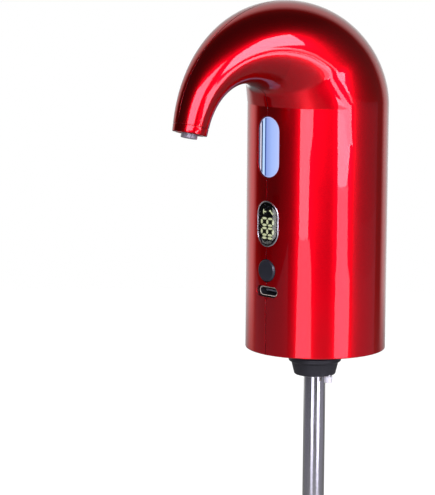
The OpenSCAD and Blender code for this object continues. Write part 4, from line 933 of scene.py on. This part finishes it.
bars = []
node_x, node_z = (figure_high - stroke) / 2, (figure_wide - stroke) / 2
for place, (cross_levels, sides) in enumerate(figure_strokes):
    middle = figure_top - place * figure_pitch
    for level in cross_levels:
        bars.append((figure_shift - level * node_x, middle, 2 * node_z - stroke_gap, pi / 2, 1.0))
    for side, end in itertools.product(sides, (-0.5, 0.5)):
        bars.append((figure_shift - end * node_x, middle + side * node_z, node_x - stroke_gap, 0.0, 1.0))
bars += [(x, z, length, radians(turn), mark_slim) for x, z, length, turn in unit_marks]
bar_xs, bar_zs, lengths, turns, slims = zip(*bars)
bar_points = [(x, bar_plane - bar_thick / 2, z) for x, z in zip(bar_xs, bar_zs)]
bar_sizes = {"length": [length * mm for length in lengths], "turn": turns, "slim": slims}
bar_mesh = grown("display_bars", bar_points, bar_sizes, bar_copy,
                 {"Stroke": ("Float", stroke * mm), "Thickness": ("Float", bar_thick * mm)})
fitted("display_bars", bar_mesh, lit_material(), "display_bars", "display_segments")

# Power button. A round slate-black button that stands proud of the casing, with a flat polished face
# and a soft edge; its flange behind the wall keeps it in.
to_front = Matrix.Translation((0, 0, power_hole["z"])) @ Matrix.Rotation(radians(90), 4, "X")
power_profile = [(0, 25.9, 0), (3.62, 25.9, 0.3), (4.03, 25.3, 0.3), (4.03, 23.1, 0), (5.15, 22.5, 0.1),
                 (5.15, 21, 0), (0, 21, 0)]
slate_plastic = finish("slate_plastic", (0.016, 0.018, 0.023, 1), 0.15, 1200.0, 0.30, 0.42, 0.008,
                       Coat_Weight=0.1)
fitted("power_button_cap", turned(filleted(power_profile, 6), 72, to_front), slate_plastic, "button_black",
       "power_button", body="power_button_body")

# Charging socket. A folded steel shell with a black tongue in it, set back in a slot of the casing
# below the power button and soldered to the board; the plating shows bright at the shell's lip, and further
# in the steel is painted dark, as painted shade.
shell_half_h, shell_half_w, shell_wall = 4.47, 1.63, 0.3
shell_front, shell_back, shell_floor = -24.2, -15.0, -17.4
lip_rings = [(0, 0.1), (0.04, 0.03), (0.1, 0), (0.2, 0), (0.26, 0.03), (shell_wall, 0.1)]
shade_fade_depth, shell_rough = (0.02, 0.2), (0.35, 0.5)
# Inside the lip the steel is painted near-black: painted shade within the shell.
lip_tone, inner_painted_shade = (0.82, 0.75, 0.58, 1), (0.020, 0.020, 0.022, 1)
tongue_low, tongue_high, tongue_bevel = (-3.35, -22.0, 8.75), (3.35, -17.4, 9.45), 0.12 * mm


def socket_steel():
    """Plated steel that is bright on the shell's lip and painted dark further in, as painted shade inside the
    shell.
    """
    made, add = new_material("socket_steel")
    axes = add("SeparateXYZ", {0: here(add)}).outputs
    shade_inward = ranged(add, axes["Y"], [(shell_front + depth) * mm for depth in shade_fade_depth])
    return surfaced(made, add, Base_Color=mixed(add, shade_inward, lip_tone, inner_painted_shade), Metallic=0.4,
                    Roughness=ranged(add, shade_inward, (0.0, 1.0), shell_rough))


shell_levels = [(0, shell_back)] + [(inset, shell_front + depth) for inset, depth in lip_rings]
shell_levels.append((shell_wall, shell_floor))
shell_rings = [[(-z, y, socket_hole["z"] + x) for x, z in pill(shell_half_w - inset, shell_half_h - inset)]
               for inset, y in shell_levels]
fitted("charging_shell", lofted(shell_rings), socket_steel(), "bright_trim", "usb_socket")
tongue_mesh = solid_mesh("charging_tongue", *block_shape(tongue_low, tongue_high))
shape = bmesh.new()
shape.from_mesh(tongue_mesh)
bmesh.ops.bevel(shape, geom=shape.edges, offset=tongue_bevel, segments=3, affect="EDGES", profile=0.5)
shape.to_mesh(tongue_mesh)
shape.free()
tongue_plastic = finish("tongue_plastic", (0.10, 0.105, 0.11, 1), 0.1, 1500.0, 0.30, 0.45, 0.01)
fitted("charging_tongue", tongue_mesh, tongue_plastic, "black_plastic", "usb_tongue")

# Base screws. Four pan-headed steel screws with a cross recess hold the base plate up against the
# bosses of the two casing halves.
screw_ring, screw_places, screw_spins = 20.3, (-24.5, 69.0, 180 - 69.0, 180 + 24.5), (0.4, 1.1, 0.2, 0.8)
screw_profile = [(0, 1.1, 0), (1.8, 1.1, 0.5), (1.8, 2.5, 0), (0.95, 2.5, 0), (0.95, 11.6, 0.3), (0, 12.5, 0)]
recess_long, recess_wide, recess_low, recess_high = 1.1, 0.22, 0.9, 1.8


def screw_copy(add, given):
    """A screw that is turned about its own axis by its point's attribute."""
    screw = add("GeometryNodeObjectInfo", {"Object": given["Screw"]}).outputs["Geometry"]
    return {"Instance": screw, "Rotation": add("CombineXYZ", {"Z": named(add, "turn")})}


screw_mesh = solid_mesh("base_screw", *turned(filleted(screw_profile), 32))
for x, y in ((recess_long, recess_wide), (recess_wide, recess_long)):
    screw_mesh = carved(screw_mesh, *block_shape((-x, -y, recess_low), (x, y, recess_high)))
screw = show("base_screw", screw_mesh)
screw_points = [(screw_ring * cos(a), screw_ring * sin(a), 0) for a in map(radians, screw_places)]
screws = grown("base_screws_set", screw_points, {"turn": screw_spins}, screw_copy,
               {"Screw": ("Object", screw)})
bpy.data.objects.remove(screw)
fitted("base_screws_set", screws, bright_steel, "steel", "base_screws")

# Brings the scene's objects up to date.
bpy.context.view_layer.update()
